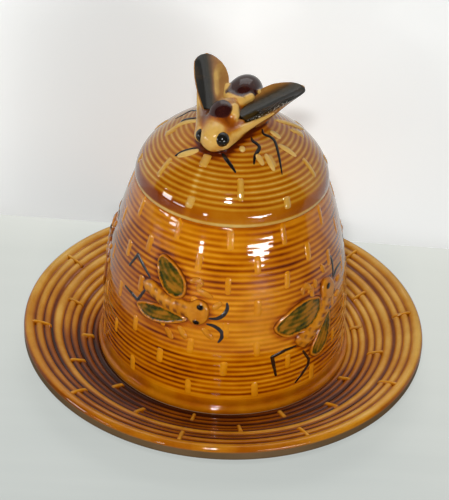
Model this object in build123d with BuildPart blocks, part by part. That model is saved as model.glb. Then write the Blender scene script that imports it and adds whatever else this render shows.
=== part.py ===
from build123d import *
import os
from math import atan2, cos, degrees, hypot, radians, sin, sqrt

os.makedirs("parts", exist_ok=True)

# A beehive honey pot in glazed earthenware: a dished saucer of coiled canes, a coiled pot that
# stands loose in it, and a lift-off lid with a bee for a knob. Millimetres and degrees; the
# origin is on the axis, on the table. The front is -Y, and an azimuth is counted from it
# towards +X.

# ---- driving dimensions: pot ----
pot_foot_radius = 50.4       # widest point of the rolled foot
pot_foot_height = 6.6        # top of the smooth roll, where the coils begin
pot_stand_radius = 46.5      # outer edge of the ring that touches the saucer
pot_stand_width = 5.0
pot_stand_depth = 1.2        # hollow under the base
pot_belly_radius = 48.7
pot_shoulder_radius = 36.6   # at the lid's seat
pot_height = 76.0            # foot to lid seat
pot_taper = 2.4              # power of the curve that closes the wall towards the shoulder
pot_wall = 4.2
pot_floor = 4.5
pot_inner_corner = 5.0       # reach of the round between wall and floor, inside
pot_mouth_radius = 31.5
pot_coils = 32
pot_coil_depth = 0.45

# ---- driving dimensions: saucer ----
well_clearance = 3.5         # bare floor round the pot's standing ring
saucer_floor = 5.0           # height of that floor above the table
saucer_climb = 8.4           # rise of the dish from its floor to the rim
saucer_wall = 4.0
rim_edge = 4.2               # upright outer edge
cane_bundles = ((4.5, 3.4, 2.9), (3.9, 3.1, 2.7), (2.9, 2.6, 2.4))  # cane widths, rim inwards
bundle_gap = 0.8
cane_roundness = 0.28        # height of a cane's crown as a share of its width
foot_ring_radius = 50.0
foot_ring_width = 5.0
foot_ring_height = 1.0

# ---- driving dimensions: lid ----
lid_overhang = 0.1           # lid edge beyond the pot's shoulder
lid_edge_height = 1.4        # plain round edge under the first coil
lid_rise = 28.5              # seat to the crown of the dome
lid_peak = 1.25              # power of the dome's curve: 1 is a cone at the top, 2 is round
lid_hollow_peak = 1.6
lid_wall = 3.6
lid_coils = 20
lid_coil_depth = 0.4
flange_clearance = 0.4       # between the locating flange and the pot's mouth
flange_wall = 2.4
flange_depth = 6.0

# ---- driving dimensions: bees ----
skin_gap = 0.03              # relief work sits on the crowns of the coils
wall_bee_abdomen = (8.4, 4.3)    # half length, radius
wall_bee_thorax = (4.6, 4.0)
wall_bee_head = (3.4, 3.4)
wall_bee_spacing = (9.2, 6.4)    # abdomen to thorax, thorax to head
wall_bee_sink = 1.6          # how deep the body's axis lies under the crowns
wall_wing = (16.5, 3.9)      # length, half width
wall_wing_root = (-1.5, 3.6)     # ahead of the thorax centre, and out to each side
wall_wing_relief = 1.1
wall_bees = {                # azimuth and height of the thorax, heading from level, wing spreads
    "front_left": (-19.5, 44.6, -13.0, (30.0, 20.0)),
    "front_right": (50.5, 41.5, 51.0, (34.0, 12.0)),
    "side_right": (124.5, 44.6, -13.0, (30.0, 20.0)),
    "back": (194.5, 41.5, 51.0, (34.0, 12.0)),
    "side_left": (262.0, 42.0, 80.0, (28.0, 24.0)),
}

knob_heading = -24.0         # azimuth that the knob bee looks towards
knob_tilt = 20.0             # its nose-down lean, which follows the dome
knob_abdomen = (9.0, 6.8)    # half length, radius
knob_thorax = (7.2, 6.4)
knob_head = (6.0, 6.6)
knob_stations = (-6.6, 8.0, 18.4)    # forward of the axis: abdomen, thorax, head
knob_heights = (4.2, 4.2, 4.4)       # body axis above the dome at each station
knob_eye_radius = 2.4
knob_eye_reach = 5.0         # from the head's centre to an eye's
knob_eye_spread = 54.0       # angle of each eye from the line of the face
knob_wing_length = 27.5
knob_wing_half_width = 6.4
knob_wing_outline = (        # shares of length and half width, from the outer root round the tip
    (0.0, 0.7), (0.3, 0.95), (0.55, 1.0), (0.82, 0.72), (0.97, 0.35), (1.0, 0.1),
    (0.95, -0.15), (0.82, -0.45), (0.65, -0.8), (0.5, -1.0), (0.28, -0.9), (0.0, -0.5),
)
knob_wing_wall = 1.5
knob_wing_cup = 9.0          # radius of the trough across a wing
knob_wing_keel = 10.0        # angle at which the underside deepens towards the root
knob_wing_sweep = 33.0       # from straight back towards the side
knob_wing_lifts = (20.0, 13.0)
knob_wing_root = (5.0, -0.5, -0.5)   # side, forward and up from the thorax centre
knob_leg_width = 2.2
knob_leg_relief = 1.1
knob_legs = (                # side (+ is the bee's right) and forward, hip to foot
    ((3.0, 20.0), (11.8, 23.5), (16.5, 28.0)),
    ((5.0, 8.0), (17.4, 8.4), (22.6, 12.7)),
    ((4.0, 3.0), (18.0, -1.5), (23.6, 2.6)),
    ((-3.0, 19.0), (-7.6, 21.0), (-11.8, 23.4)),
    ((-5.0, 8.0), (-17.5, 11.4), (-22.8, 14.4)),
    ((-4.0, 2.0), (-18.8, 0.8), (-26.0, 2.2)),
    ((-4.0, -4.0), (-15.3, -11.4), (-19.5, -19.0)),
)

# ---- worked out from them ----
well_radius = pot_stand_radius + well_clearance
cane_total = sum(sum(bundle) for bundle in cane_bundles) + bundle_gap * (len(cane_bundles) - 1)
saucer_radius = well_radius + cane_total
pot_base = saucer_floor
lid_seat = pot_base + pot_height
lid_radius = pot_shoulder_radius + lid_overhang
flange_radius = pot_mouth_radius - flange_clearance
lid_hollow_radius = flange_radius - flange_wall
lid_hollow_rise = lid_rise - lid_wall


def pot_radius(height):
    """Crown radius of the coils at a height above the pot's foot."""
    return pot_belly_radius - (pot_belly_radius - pot_shoulder_radius) * (height / pot_height) ** pot_taper


def dome_point(fraction, radius, rise, peak):
    """Point (radius, height) of a dome curve, at a fraction of its rise."""
    return radius * (1 - fraction**2) ** (1 / peak), lid_seat + rise * fraction


def dome_height(radius):
    """Crown height of the lid's coils at a radius."""
    return lid_seat + lid_rise * sqrt(1 - (radius / lid_radius) ** lid_peak)


def evenly(points, count):
    """count + 1 points at equal steps along a fine polyline."""
    lengths = [0.0]
    for a, b in zip(points, points[1:]):
        lengths.append(lengths[-1] + hypot(b[0] - a[0], b[1] - a[1]))
    picked, i = [], 0
    for step in range(count + 1):
        target = lengths[-1] * step / count
        while i < len(points) - 2 and lengths[i + 1] < target:
            i += 1
        share = (target - lengths[i]) / (lengths[i + 1] - lengths[i])
        a, b = points[i], points[i + 1]
        picked.append((a[0] + (b[0] - a[0]) * share, a[1] + (b[1] - a[1]) * share))
    return picked


def coil_points(curve, coils, depth):
    """Crowns on the curve, with a groove pressed in to the left of it between them."""
    fine = evenly(curve, 2 * coils)
    shaped = []
    for i, (r, z) in enumerate(fine):
        if i % 2:
            shaped.append((r, z))
            continue
        before, after = fine[max(i - 1, 0)], fine[min(i + 1, 2 * coils)]
        run, climb = after[0] - before[0], after[1] - before[1]
        scale = depth / hypot(run, climb)
        shaped.append((r - climb * scale, z + run * scale))
    return shaped


def draw_coils(points):
    for i in range(0, len(points) - 2, 2):
        ThreePointArc(points[i], points[i + 1], points[i + 2])


# ---- curves shared by the solids and by the relief on them ----
samples = 400
pot_curve = [
    (pot_radius(h), pot_base + h)
    for h in (pot_foot_height + (pot_height - pot_foot_height) * i / samples for i in range(samples + 1))
]
edge_fraction = lid_edge_height / lid_rise
lid_curve = [
    dome_point(edge_fraction + (1 - edge_fraction) * i / samples, lid_radius, lid_rise, lid_peak)
    for i in range(samples + 1)
]

# ---- saucer ----


def dish_height(radius):
    """Height of the dish under the canes: a smooth step from the floor to the rim."""
    share = min(max((radius - well_radius) / cane_total, 0), 1)
    return saucer_floor + saucer_climb * share**2 * (3 - 2 * share)


cane_spans = []              # (outer radius, inner radius) of each cane, rim inwards
edge = saucer_radius
for bundle in cane_bundles:
    for width in bundle:
        cane_spans.append((edge, edge - width))
        edge -= width
    edge -= bundle_gap

with BuildPart() as saucer:
    with BuildSketch(Plane.XZ):
        with BuildLine():
            corner = (saucer_radius, dish_height(saucer_radius))
            top = [corner]
            for outer, inner in cane_spans:
                if outer < top[-1][0]:
                    Line(top[-1], (outer, dish_height(outer)))
                    top.append((outer, dish_height(outer)))
                middle = (outer + inner) / 2
                crown = dish_height(middle) + cane_roundness * (outer - inner)
                ThreePointArc(top[-1], (middle, crown), (inner, dish_height(inner)))
                top.append((inner, dish_height(inner)))
            floor_and_foot = Polyline(
                top[-1],
                (0, saucer_floor),
                (0, foot_ring_height),
                (foot_ring_radius - foot_ring_width, foot_ring_height),
                (foot_ring_radius - foot_ring_width + foot_ring_height, 0),
                (foot_ring_radius, 0),
                (foot_ring_radius + foot_ring_height, foot_ring_height),
            )
            rim_under = (saucer_radius, corner[1] - rim_edge)
            Spline(floor_and_foot @ 1, rim_under, tangents=[(1, 0), (1, 0.25)])
            Line(rim_under, corner)
        make_face()
    revolve(axis=Axis.Z)
saucer.part.label = "saucer"
export_step(saucer.part, "parts/saucer.step")

# ---- pot ----
with BuildPart() as pot:
    with BuildSketch(Plane.XZ):
        with BuildLine():
            coils = coil_points(pot_curve, pot_coils, pot_coil_depth)
            draw_coils(coils)
            Spline(
                (pot_stand_radius, pot_base),
                (pot_foot_radius, pot_base + pot_foot_height / 2),
                coils[0],
                tangents=[(1, 0.1), (-0.7, 1)],
            )
            mouth_top = (pot_mouth_radius, lid_seat)
            inner_radius = pot_belly_radius - pot_wall
            inner_floor = pot_base + pot_floor
            Line(coils[-1], mouth_top)
            inner_wall = [mouth_top]
            for i in range(1, 6):
                share = 1 - i / 6
                inner = inner_radius - (inner_radius - pot_mouth_radius) * share**pot_taper
                inner_wall.append((inner, inner_floor + (lid_seat - inner_floor) * share))
            inner_wall.append((inner_radius - pot_inner_corner, inner_floor))
            Spline(*inner_wall, tangents=[(0.2, -1), (-1, -0.05)])
            Polyline(
                inner_wall[-1],
                (0, inner_floor),
                (0, pot_base + pot_stand_depth),
                (pot_stand_radius - pot_stand_width, pot_base + pot_stand_depth),
                (pot_stand_radius - pot_stand_width, pot_base),
                (pot_stand_radius, pot_base),
            )
        make_face()
    revolve(axis=Axis.Z)
pot.part.label = "pot"
export_step(pot.part, "parts/pot.step")

# ---- lid ----
with BuildPart() as lid_dome:
    with BuildSketch(Plane.XZ):
        with BuildLine():
            coils = coil_points(lid_curve, lid_coils, lid_coil_depth)
            draw_coils(coils[:-2])
            peak = (0, lid_curve[-1][1])
            Spline(coils[-3], peak, tangents=[(-1, 0.45), (-1, 0)])
            edge_middle = (lid_radius, lid_seat + lid_edge_height / 2)
            ThreePointArc((lid_radius - lid_edge_height / 4, lid_seat), edge_middle, coils[0])
            hollow = [
                dome_point(share, lid_hollow_radius, lid_hollow_rise, lid_hollow_peak)
                for share in (0, 0.25, 0.5, 0.7, 0.85, 0.95, 1)
            ]
            Spline(*hollow, tangents=[(0, 1), (-1, 0)])
            Line(hollow[-1], peak)
            Polyline(
                hollow[0],
                (lid_hollow_radius, lid_seat - flange_depth),
                (flange_radius, lid_seat - flange_depth),
                (flange_radius, lid_seat),
                (lid_radius - lid_edge_height / 4, lid_seat),
            )
        make_face()
    revolve(axis=Axis.Z)
lid_dome.part.label = "lid_dome"
export_step(lid_dome.part, "parts/lid_dome.step")

# ---- solids that the relief is trimmed by: a core up to the crowns, and a skin just outside ----


def crown_curve(curve, offset):
    """A few points along a crown curve, moved outwards."""
    return [(r + offset, z) for r, z in evenly(curve, 12)]


with BuildPart() as pot_core:
    with BuildSketch(Plane.XZ):
        with BuildLine():
            crowns = Spline(*crown_curve(pot_curve, skin_gap))
            Polyline(crowns @ 1, (0, (crowns @ 1).Y), (0, (crowns @ 0).Y), crowns @ 0)
        make_face()
    revolve(axis=Axis.Z)

with BuildPart() as pot_skin:
    with BuildSketch(Plane.XZ):
        with BuildLine():
            inside = Spline(*crown_curve(pot_curve, skin_gap))
            outside = Spline(*crown_curve(pot_curve, skin_gap + wall_wing_relief))
            Line(inside @ 0, outside @ 0)
            Line(inside @ 1, outside @ 1)
        make_face()
    revolve(axis=Axis.Z)


def dome_crowns(lift):
    """The dome's crown curve, raised, from the edge to the axis."""
    return [(r, z + lift) for r, z in evenly(lid_curve, 16)]


with BuildPart() as lid_core:
    with BuildSketch(Plane.XZ):
        with BuildLine():
            crowns = Spline(*dome_crowns(skin_gap))
            Polyline(crowns @ 1, (0, lid_seat), ((crowns @ 0).X, lid_seat), crowns @ 0)
        make_face()
    revolve(axis=Axis.Z)

with BuildPart() as lid_skin:
    with BuildSketch(Plane.XZ):
        with BuildLine():
            inside = Spline(*dome_crowns(skin_gap))
            outside = Spline(*dome_crowns(skin_gap + knob_leg_relief))
            Line(inside @ 0, outside @ 0)
            Line(inside @ 1, outside @ 1)
        make_face()
    revolve(axis=Axis.Z)


def spheroid(place, half_length, radius):
    """A round body whose long axis is the plane's X."""
    with BuildPart() as body:
        with BuildSketch(place):
            with BuildLine():
                EllipticalCenterArc((0, 0), half_length, radius, 0, arc_size=180)
                Line((-half_length, 0), (half_length, 0))
            make_face()
        revolve(axis=Axis(place.origin, place.x_dir))
    return body.part


# ---- wall bees ----


def wall_plane(azimuth, height, heading):
    """Plane on the crowns of the pot, looking outwards, with X turned up from level by heading."""
    step = 0.5
    fall = (pot_radius(height - step) - pot_radius(height + step)) / (2 * step)
    outward = Vector(sin(radians(azimuth)), -cos(radians(azimuth)), 0)
    level = Vector(cos(radians(azimuth)), sin(radians(azimuth)), 0)
    normal = (outward + Vector(0, 0, fall)).normalized()
    ahead = level * cos(radians(heading)) + normal.cross(level) * sin(radians(heading))
    seat = outward * pot_radius(height) + Vector(0, 0, pot_base + height)
    return Plane(origin=seat, x_dir=ahead, z_dir=normal)


def wall_bee(azimuth, height, heading, spreads):
    """Abdomen, thorax, head and two folded wings, raised from the coils."""
    ground = wall_plane(azimuth, height, heading)
    axis = ground.offset(-wall_bee_sink)
    abdomen_back, head_front = -wall_bee_spacing[0], wall_bee_spacing[1]
    with BuildPart() as body:
        add(spheroid(axis.shift_origin(axis.from_local_coords((abdomen_back, 0, 0))), *wall_bee_abdomen))
        add(spheroid(axis, *wall_bee_thorax))
        add(spheroid(axis.shift_origin(axis.from_local_coords((head_front, 0, 0))), *wall_bee_head))
        add(pot_core.part, mode=Mode.SUBTRACT)
    length, half_width = wall_wing
    root_ahead, root_side = wall_wing_root
    with BuildPart() as bee:
        with BuildSketch(ground.offset(-half_width)):
            for side, spread in zip((1, -1), spreads):
                turn = 180 - side * spread
                with Locations(Location((root_ahead, side * root_side, 0), (0, 0, turn))):
                    with Locations((length / 2, 0)):
                        Ellipse(length / 2, half_width)
        extrude(amount=3 * half_width)
        add(pot_skin.part, mode=Mode.INTERSECT)
        add(body.part)
    return bee.part


for place, (azimuth, height, heading, spreads) in wall_bees.items():
    bee = wall_bee(azimuth, height, heading, spreads)
    bee.label = "wall_bee_" + place
    export_step(bee, f"parts/{bee.label}.step")

# ---- knob bee ----
forward = Vector(sin(radians(knob_heading)), -cos(radians(knob_heading)), 0)
sideways = Vector(-cos(radians(knob_heading)), -sin(radians(knob_heading)), 0)
upward = Vector(0, 0, 1)
nose = forward * cos(radians(knob_tilt)) - upward * sin(radians(knob_tilt))


def knob_point(side, ahead, above=0.0):
    """A point over the dome, given in the bee's own directions."""
    height = dome_height(hypot(side, ahead)) + above
    return forward * ahead + sideways * side + upward * height


centres = [knob_point(0, ahead, above) for ahead, above in zip(knob_stations, knob_heights)]
abdomen_centre, thorax_centre, head_centre = centres

with BuildPart() as bee_body:
    for centre, size in zip(centres, (knob_abdomen, knob_thorax, knob_head)):
        add(spheroid(Plane(origin=centre, x_dir=nose, z_dir=sideways), *size))
    add(lid_core.part, mode=Mode.SUBTRACT)
bee_body.part.label = "bee_body"
export_step(bee_body.part, "parts/bee_body.step")

with BuildPart() as bee_eyes:
    for side in (-1, 1):
        turn = radians(knob_eye_spread) * side
        look = forward * cos(turn) + sideways * sin(turn)
        with Locations(head_centre + look * knob_eye_reach + upward):
            Sphere(knob_eye_radius)
    add(bee_body.part, mode=Mode.SUBTRACT)
bee_eyes.part.label = "bee_eyes"
export_step(bee_eyes.part, "parts/bee_eyes.step")

with BuildPart() as bee_legs:
    with BuildSketch(Plane(origin=(0, 0, lid_seat), x_dir=sideways, z_dir=upward)):
        for leg in knob_legs:
            for (x0, y0), (x1, y1) in zip(leg, leg[1:]):
                turn = degrees(atan2(y1 - y0, x1 - x0))
                with Locations(Location(((x0 + x1) / 2, (y0 + y1) / 2, 0), (0, 0, turn))):
                    SlotCenterToCenter(hypot(x1 - x0, y1 - y0), knob_leg_width)
    extrude(amount=2 * lid_rise)
    add(lid_skin.part, mode=Mode.INTERSECT)
    add(bee_body.part, mode=Mode.SUBTRACT)
bee_legs.part.label = "bee_legs"
export_step(bee_legs.part, "parts/bee_legs.step")


def knob_wing(side, lift):
    """A leaf with a trough in it and a keel under it; side is +1 for the right."""
    sweep = radians(knob_wing_sweep)
    root_side, root_ahead, root_up = knob_wing_root
    root = thorax_centre + sideways * side * root_side + forward * root_ahead + upward * root_up
    level = sideways * side * sin(sweep) - forward * cos(sweep)
    along = level * cos(radians(lift)) + upward * sin(radians(lift))
    face = upward * cos(radians(lift)) - level * sin(radians(lift))
    keel = along * cos(radians(knob_wing_keel)) + face * sin(radians(knob_wing_keel))
    trough_end = root + along * knob_wing_length + face * knob_wing_cup
    rim = [
        (share * knob_wing_length, side * across * knob_wing_half_width)
        for share, across in knob_wing_outline
    ]
    with BuildPart() as wing:
        with BuildSketch(Plane(origin=root, x_dir=along, z_dir=face).offset(-2 * knob_wing_cup)):
            with BuildLine():
                Spline(*rim)
                Line(rim[-1], rim[0])
            make_face()
        extrude(amount=3 * knob_wing_cup)
        with BuildSketch(Plane(origin=trough_end, z_dir=keel)):
            Circle(knob_wing_cup + knob_wing_wall)
        extrude(amount=2 * knob_wing_length, both=True, mode=Mode.INTERSECT)
        with BuildSketch(Plane(origin=trough_end, z_dir=along)):
            Circle(knob_wing_cup)
        extrude(amount=2 * knob_wing_length, both=True, mode=Mode.SUBTRACT)
        add(bee_body.part, mode=Mode.SUBTRACT)
        add(lid_core.part, mode=Mode.SUBTRACT)
        add(bee_legs.part, mode=Mode.SUBTRACT)
    return wing.part


for name, side, lift in (("bee_wing_right", 1, knob_wing_lifts[0]), ("bee_wing_left", -1, knob_wing_lifts[1])):
    wing = knob_wing(side, lift)
    wing.label = name
    export_step(wing, f"parts/{name}.step")
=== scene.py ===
import math

import bpy
import numpy as np
from mathutils import Matrix


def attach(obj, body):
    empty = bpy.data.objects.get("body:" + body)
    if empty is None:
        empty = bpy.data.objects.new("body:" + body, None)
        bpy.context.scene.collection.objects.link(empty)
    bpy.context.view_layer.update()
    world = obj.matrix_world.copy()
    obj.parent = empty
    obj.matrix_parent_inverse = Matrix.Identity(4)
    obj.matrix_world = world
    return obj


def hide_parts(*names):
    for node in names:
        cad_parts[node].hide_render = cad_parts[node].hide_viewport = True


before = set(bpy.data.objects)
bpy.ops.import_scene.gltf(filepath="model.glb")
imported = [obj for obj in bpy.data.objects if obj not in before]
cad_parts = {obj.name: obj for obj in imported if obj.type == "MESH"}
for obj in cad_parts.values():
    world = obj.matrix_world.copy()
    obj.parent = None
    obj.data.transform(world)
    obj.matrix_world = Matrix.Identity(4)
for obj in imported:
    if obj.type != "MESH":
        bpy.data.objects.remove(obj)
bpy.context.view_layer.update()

# Shapes are worked out in millimetres in the frame of the CAD: the axis is Z, the table is z = 0,
# the front is -Y, and an azimuth is counted from the front towards +X. Meshes are in metres.

pot = {
    "foot": 5.0,             # height of the saucer's floor, where the pot stands
    "height": 76.0,
    "belly": 48.7,
    "shoulder": 36.6,
    "taper": 2.4,
    "coils": 32,
    "firstCoil": 6.6,
    "lastCoil": 75.6,
    "groove": 0.016,
    "around": 264,
    # radius and height above the foot: the underside, then the smooth roll up to the first coil
    "underside": ((0, 1.2), (30, 1.2), (41, 1.2), (41.5, 1.0), (41.6, 0), (43, 0), (46.2, 0), (48.6, 0)),
    "roll": ((49.9, 0.03), (50.3, 0.3), (50.38, 1.0), (50.34, 1.8), (49.9, 2.6), (49.2, 3.15), (48.9, 3.8),
             (48.78, 5.0), (48.67, 6.6)),
    "rollSteps": 32,
    "rollShade": ((0, 0.3, 0.5, 0.7, 0.85, 1.0), (0.42, 0.34, 0.22, 0.5, 0.42, 0.3)),
    # radius and height above the table: the mouth, and the floor inside
    "mouth": ((36.4, 81.0), (34.0, 81.0), (32.0, 81.0), (31.6, 80.8)),
    "insideFloor": ((43.0, 11.2), (41.5, 9.9), (38, 9.5), (20, 9.5), (0, 9.5)),
    "halo": 2.4,             # how far from a bee the glaze pools round it
}
lid = {
    "seat": 81.0,
    "edge": 36.7,
    "rise": 28.5,
    "peak": 1.25,
    "edgeHeight": 1.5,       # along the curve from the edge, where the dome meets the rounded edge
    "coilStart": 5.7,        # along the curve from the edge, over a plain band
    "coilPitch": 2.1,
    "groove": 0.035,
    "around": 252,
    # radius and height above the table: the inside, the flange and the rounded edge
    "inside": ((0, 105.6), (6, 105.1), (12, 103.4), (18, 100.1), (23, 95.2), (26.4, 89.6), (28.2, 84.0),
               (28.7, 81.0), (28.7, 76.0), (28.9, 75.1), (29.4, 75.0), (30.4, 75.0), (30.9, 75.1),
               (31.1, 75.6), (31.1, 80.9), (31.6, 81.0), (35.9, 81.0), (36.4, 81.05), (36.65, 81.3),
               (36.7, 81.8), (36.6, 82.3)),
    "paleEdge": 4,           # how many of those rings, from the last, are cream
}
saucer = {
    "floor": 5.0,
    "well": 50.0,
    "rim": 80.0,
    "climb": 8.4,
    "canes": ((4.5, 3.4, 2.9), (3.9, 3.1, 2.7), (2.9, 2.6, 2.4)),
    "poolAndFrontShade": ((0.24, 0.3, 0.6), (0.1, 0.6, 0.55), (0.55, 0.6, 0.65)),    # painted shade on each cane, darker at the front of the dish
    "gap": 0.8,
    "crown": 0.28,
    "crownHeight": 0.9,      # of the canes' crowns over the dish
    "caneSteps": 12,
    "gapSteps": 4,
    "around": 288,
    # radius and height: the underside with its standing ring, then the edge
    "underside": ((0, 1.0), (44, 1.0), (45, 1.0), (46, 0.15), (46.4, 0), (49.6, 0), (50, 0.15), (51, 1.0),
                  (54, 1.25), (60, 3.0), (66, 5.6), (72, 7.6), (77, 8.8), (79.2, 9.15), (79.8, 9.4)),
    "edge": ((80.0, 9.8), (80.0, 10.6), (80.0, 11.6), (80.0, 12.5), (79.9, 13.1)),
    "floorRings": (46.0, 30.0, 15.0, 0.0),
}


def newMesh(name, points, faces):
    # points in millimetres and lists of corners
    mesh = bpy.data.meshes.new(name)
    mesh.from_pydata((np.asarray(points) * 0.001).tolist(), [], faces)
    return mesh


def newObject(name, data):
    item = bpy.data.objects.new(name, data)
    bpy.context.collection.objects.link(item)
    return item


def addPiece(name, points, faces, body, nodes, material, fields=None):
    # a smooth mesh with a value for each point in every field; it rides on a body and stands for nodes
    mesh = newMesh(name, points, faces)
    for field, values in (fields or {}).items():
        layer = mesh.attributes.new(field, "FLOAT", "POINT")
        layer.data.foreach_set("value", np.ascontiguousarray(values, dtype=np.float32).ravel())
    mesh.polygons.foreach_set("use_smooth", [True] * len(mesh.polygons))
    mesh.update()
    piece = newObject(name, mesh)
    mesh.materials.append(material)
    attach(piece, body)
    if nodes:
        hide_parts(*nodes)


def gridQuads(rows, columns, wrap=False, first=0):
    # quads of a grid numbered row by row; wrap joins the last column to the first
    i, j = np.meshgrid(np.arange(rows - 1), np.arange(columns if wrap else columns - 1), indexing="ij")
    k = (j + 1) % columns
    corners = [i * columns + j, i * columns + k, (i + 1) * columns + k, (i + 1) * columns + j]
    return (np.stack(corners, axis=-1).reshape(-1, 4) + first).tolist()


def gridEdge(rows, columns):
    # the corners on the edge of a grid, in order round it
    return np.concatenate([
        np.arange(columns), columns * np.arange(1, rows) + columns - 1,
        columns * (rows - 1) + np.arange(columns - 2, -1, -1), columns * np.arange(rows - 2, 0, -1)])


def fan(ring, tip, flip=False):
    # triangles from a closed ring of corners to one tip
    after = np.roll(ring, -1)
    sides = (after, ring) if flip else (ring, after)
    return np.stack([*sides, np.full(len(ring), tip)], axis=-1).tolist()


def wholeTurn(count):
    # one row of azimuths
    return np.linspace(0, 2 * math.pi, count, endpoint=False)[None, :]


def polarPoint(radius, azimuth, height):
    return np.stack([radius * np.sin(azimuth), -radius * np.cos(azimuth), height + 0 * azimuth], axis=-1)


def turned(radius, height, azimuth):
    # a closed body of revolution: row i is a ring of radius[i, :], height[i, :]; the first and the
    # last row lie on the axis and become one point each
    rows, columns = radius.shape
    rings = polarPoint(radius, azimuth, height)[1:-1].reshape(-1, 3)
    poles = np.array([[0, 0, height[0, 0]], [0, 0, height[-1, 0]]])
    faces = gridQuads(rows - 2, columns, wrap=True)
    last = (rows - 3) * columns
    faces += fan(np.arange(columns), (rows - 2) * columns, flip=True)
    faces += fan(np.arange(columns) + last, (rows - 2) * columns + 1)
    return np.concatenate([rings, poles]), faces


def turnedField(values):
    # a field on the same rows, without the repeated poles
    return np.concatenate([values[1:-1].ravel(), [values[0, 0], values[-1, 0]]])


def wander(x, y, seed, waves=6):
    # smooth unevenness between about -1 and 1: a sum of sine waves with seeded phases
    draw = np.random.default_rng(seed)
    total = 0.0
    for order in range(1, waves + 1):
        tilt, phase = draw.uniform(-1, 1), draw.uniform(0, 2 * math.pi)
        total = total + np.sin(order * x + tilt * order * y + phase) / order**0.5
    return total / waves**0.5


def smoothStep(x):
    x = np.clip(x, 0, 1)
    return x * x * (3 - 2 * x)


def curveThrough(points, count):
    # Catmull-Rom curve through the points, sampled at equal parameter steps
    points = np.asarray(points, dtype=float)
    padded = np.concatenate([2 * points[:1] - points[1:2], points, 2 * points[-1:] - points[-2:-1]])
    t = np.linspace(0, len(points) - 1, count)
    span = np.minimum(t.astype(int), len(points) - 2)
    u = (t - span)[:, None]
    p0, p1, p2, p3 = (padded[span + k] for k in range(4))
    return 0.5 * (2 * p1 + (p2 - p0) * u + (2 * p0 - 5 * p1 + 4 * p2 - p3) * u**2
                  + (3 * p1 - p0 - 3 * p2 + p3) * u**3)


# the three surfaces that everything else lies on
def coilDip(position):
    # 0 on the crown of a coil and 1 in the groove, (1 + cos) / 2; whole numbers are grooves
    return 0.5 + 0.5 * np.cos(2 * math.pi * position)


def potSurface(azimuth, height, lift):
    # point over the crowns of the pot's coils: belly - (belly - shoulder) * share^taper from the axis;
    # height is above the foot, lift is along the normal
    share = np.clip(height / pot["height"], 0, 1.2)
    drop = pot["belly"] - pot["shoulder"]
    radius = pot["belly"] - drop * share ** pot["taper"]
    slope = drop * pot["taper"] / pot["height"] * share ** (pot["taper"] - 1)
    size = np.sqrt(1 + slope**2)
    return polarPoint(radius + lift / size, azimuth, pot["foot"] + height + lift * slope / size)


def potCoil(azimuth, height):
    # position counted in coils, with the slight waver of a hand-cut model
    pitch = (pot["lastCoil"] - pot["firstCoil"]) / pot["coils"]
    waver = 0.1 * wander(azimuth, height * 0.16, 3)
    edge = smoothStep((height - pot["firstCoil"]) / 4) * smoothStep((pot["lastCoil"] - height) / 4)
    return (height - pot["firstCoil"]) / pitch + waver * edge


def lidHeight(radius):
    # seat + rise * sqrt(1 - (radius / edge)^peak)
    share = np.clip(radius / lid["edge"], 0, 1)
    return lid["seat"] + lid["rise"] * np.sqrt(np.clip(1 - share ** lid["peak"], 0, 1))


def lidSurface(azimuth, radius, lift):
    # point over the crowns of the lid's coils; lift is along the normal
    step = 0.05
    near = np.clip(radius, 0.2, lid["edge"] - 0.2)
    fall = (lidHeight(near - step) - lidHeight(near + step)) / (2 * step)
    size = np.sqrt(1 + fall**2)
    return polarPoint(radius + lift * fall / size, azimuth, lidHeight(radius) + lift / size)


# how far along the lid's curve each radius is, from the edge, for coils of even pitch
lidArc = {"radius": lid["edge"] * (1 - np.linspace(0, 1, 2000) ** 2) ** (1 / lid["peak"])}
lidArc["length"] = np.concatenate([[0], np.cumsum(np.hypot(
    np.diff(lidArc["radius"]), np.diff(lidHeight(lidArc["radius"]))))])


def lidCoil(azimuth, radius):
    length = np.interp(-radius, -lidArc["radius"], lidArc["length"])
    return (length - lid["coilStart"]) / lid["coilPitch"] + 0.08 * wander(azimuth, radius * 0.2, 8)


def dishShare(radius):
    return (radius - saucer["well"]) / (saucer["rim"] - saucer["well"])


def dishHeight(radius):
    # floor + climb * (3 s^2 - 2 s^3) at the share s of the way from the well to the rim
    return saucer["floor"] + saucer["climb"] * smoothStep(dishShare(radius))


def saucerSurface(azimuth, radius, lift):
    # point over the crowns of the saucer's canes; lift is along the normal
    share = np.clip(dishShare(radius), 0, 1)
    slope = saucer["climb"] * 6 * share * (1 - share) / (saucer["rim"] - saucer["well"])
    size = np.sqrt(1 + slope**2)
    height = dishHeight(radius) + saucer["crownHeight"] + lift / size
    return polarPoint(radius - lift * slope / size, azimuth, height)


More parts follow.
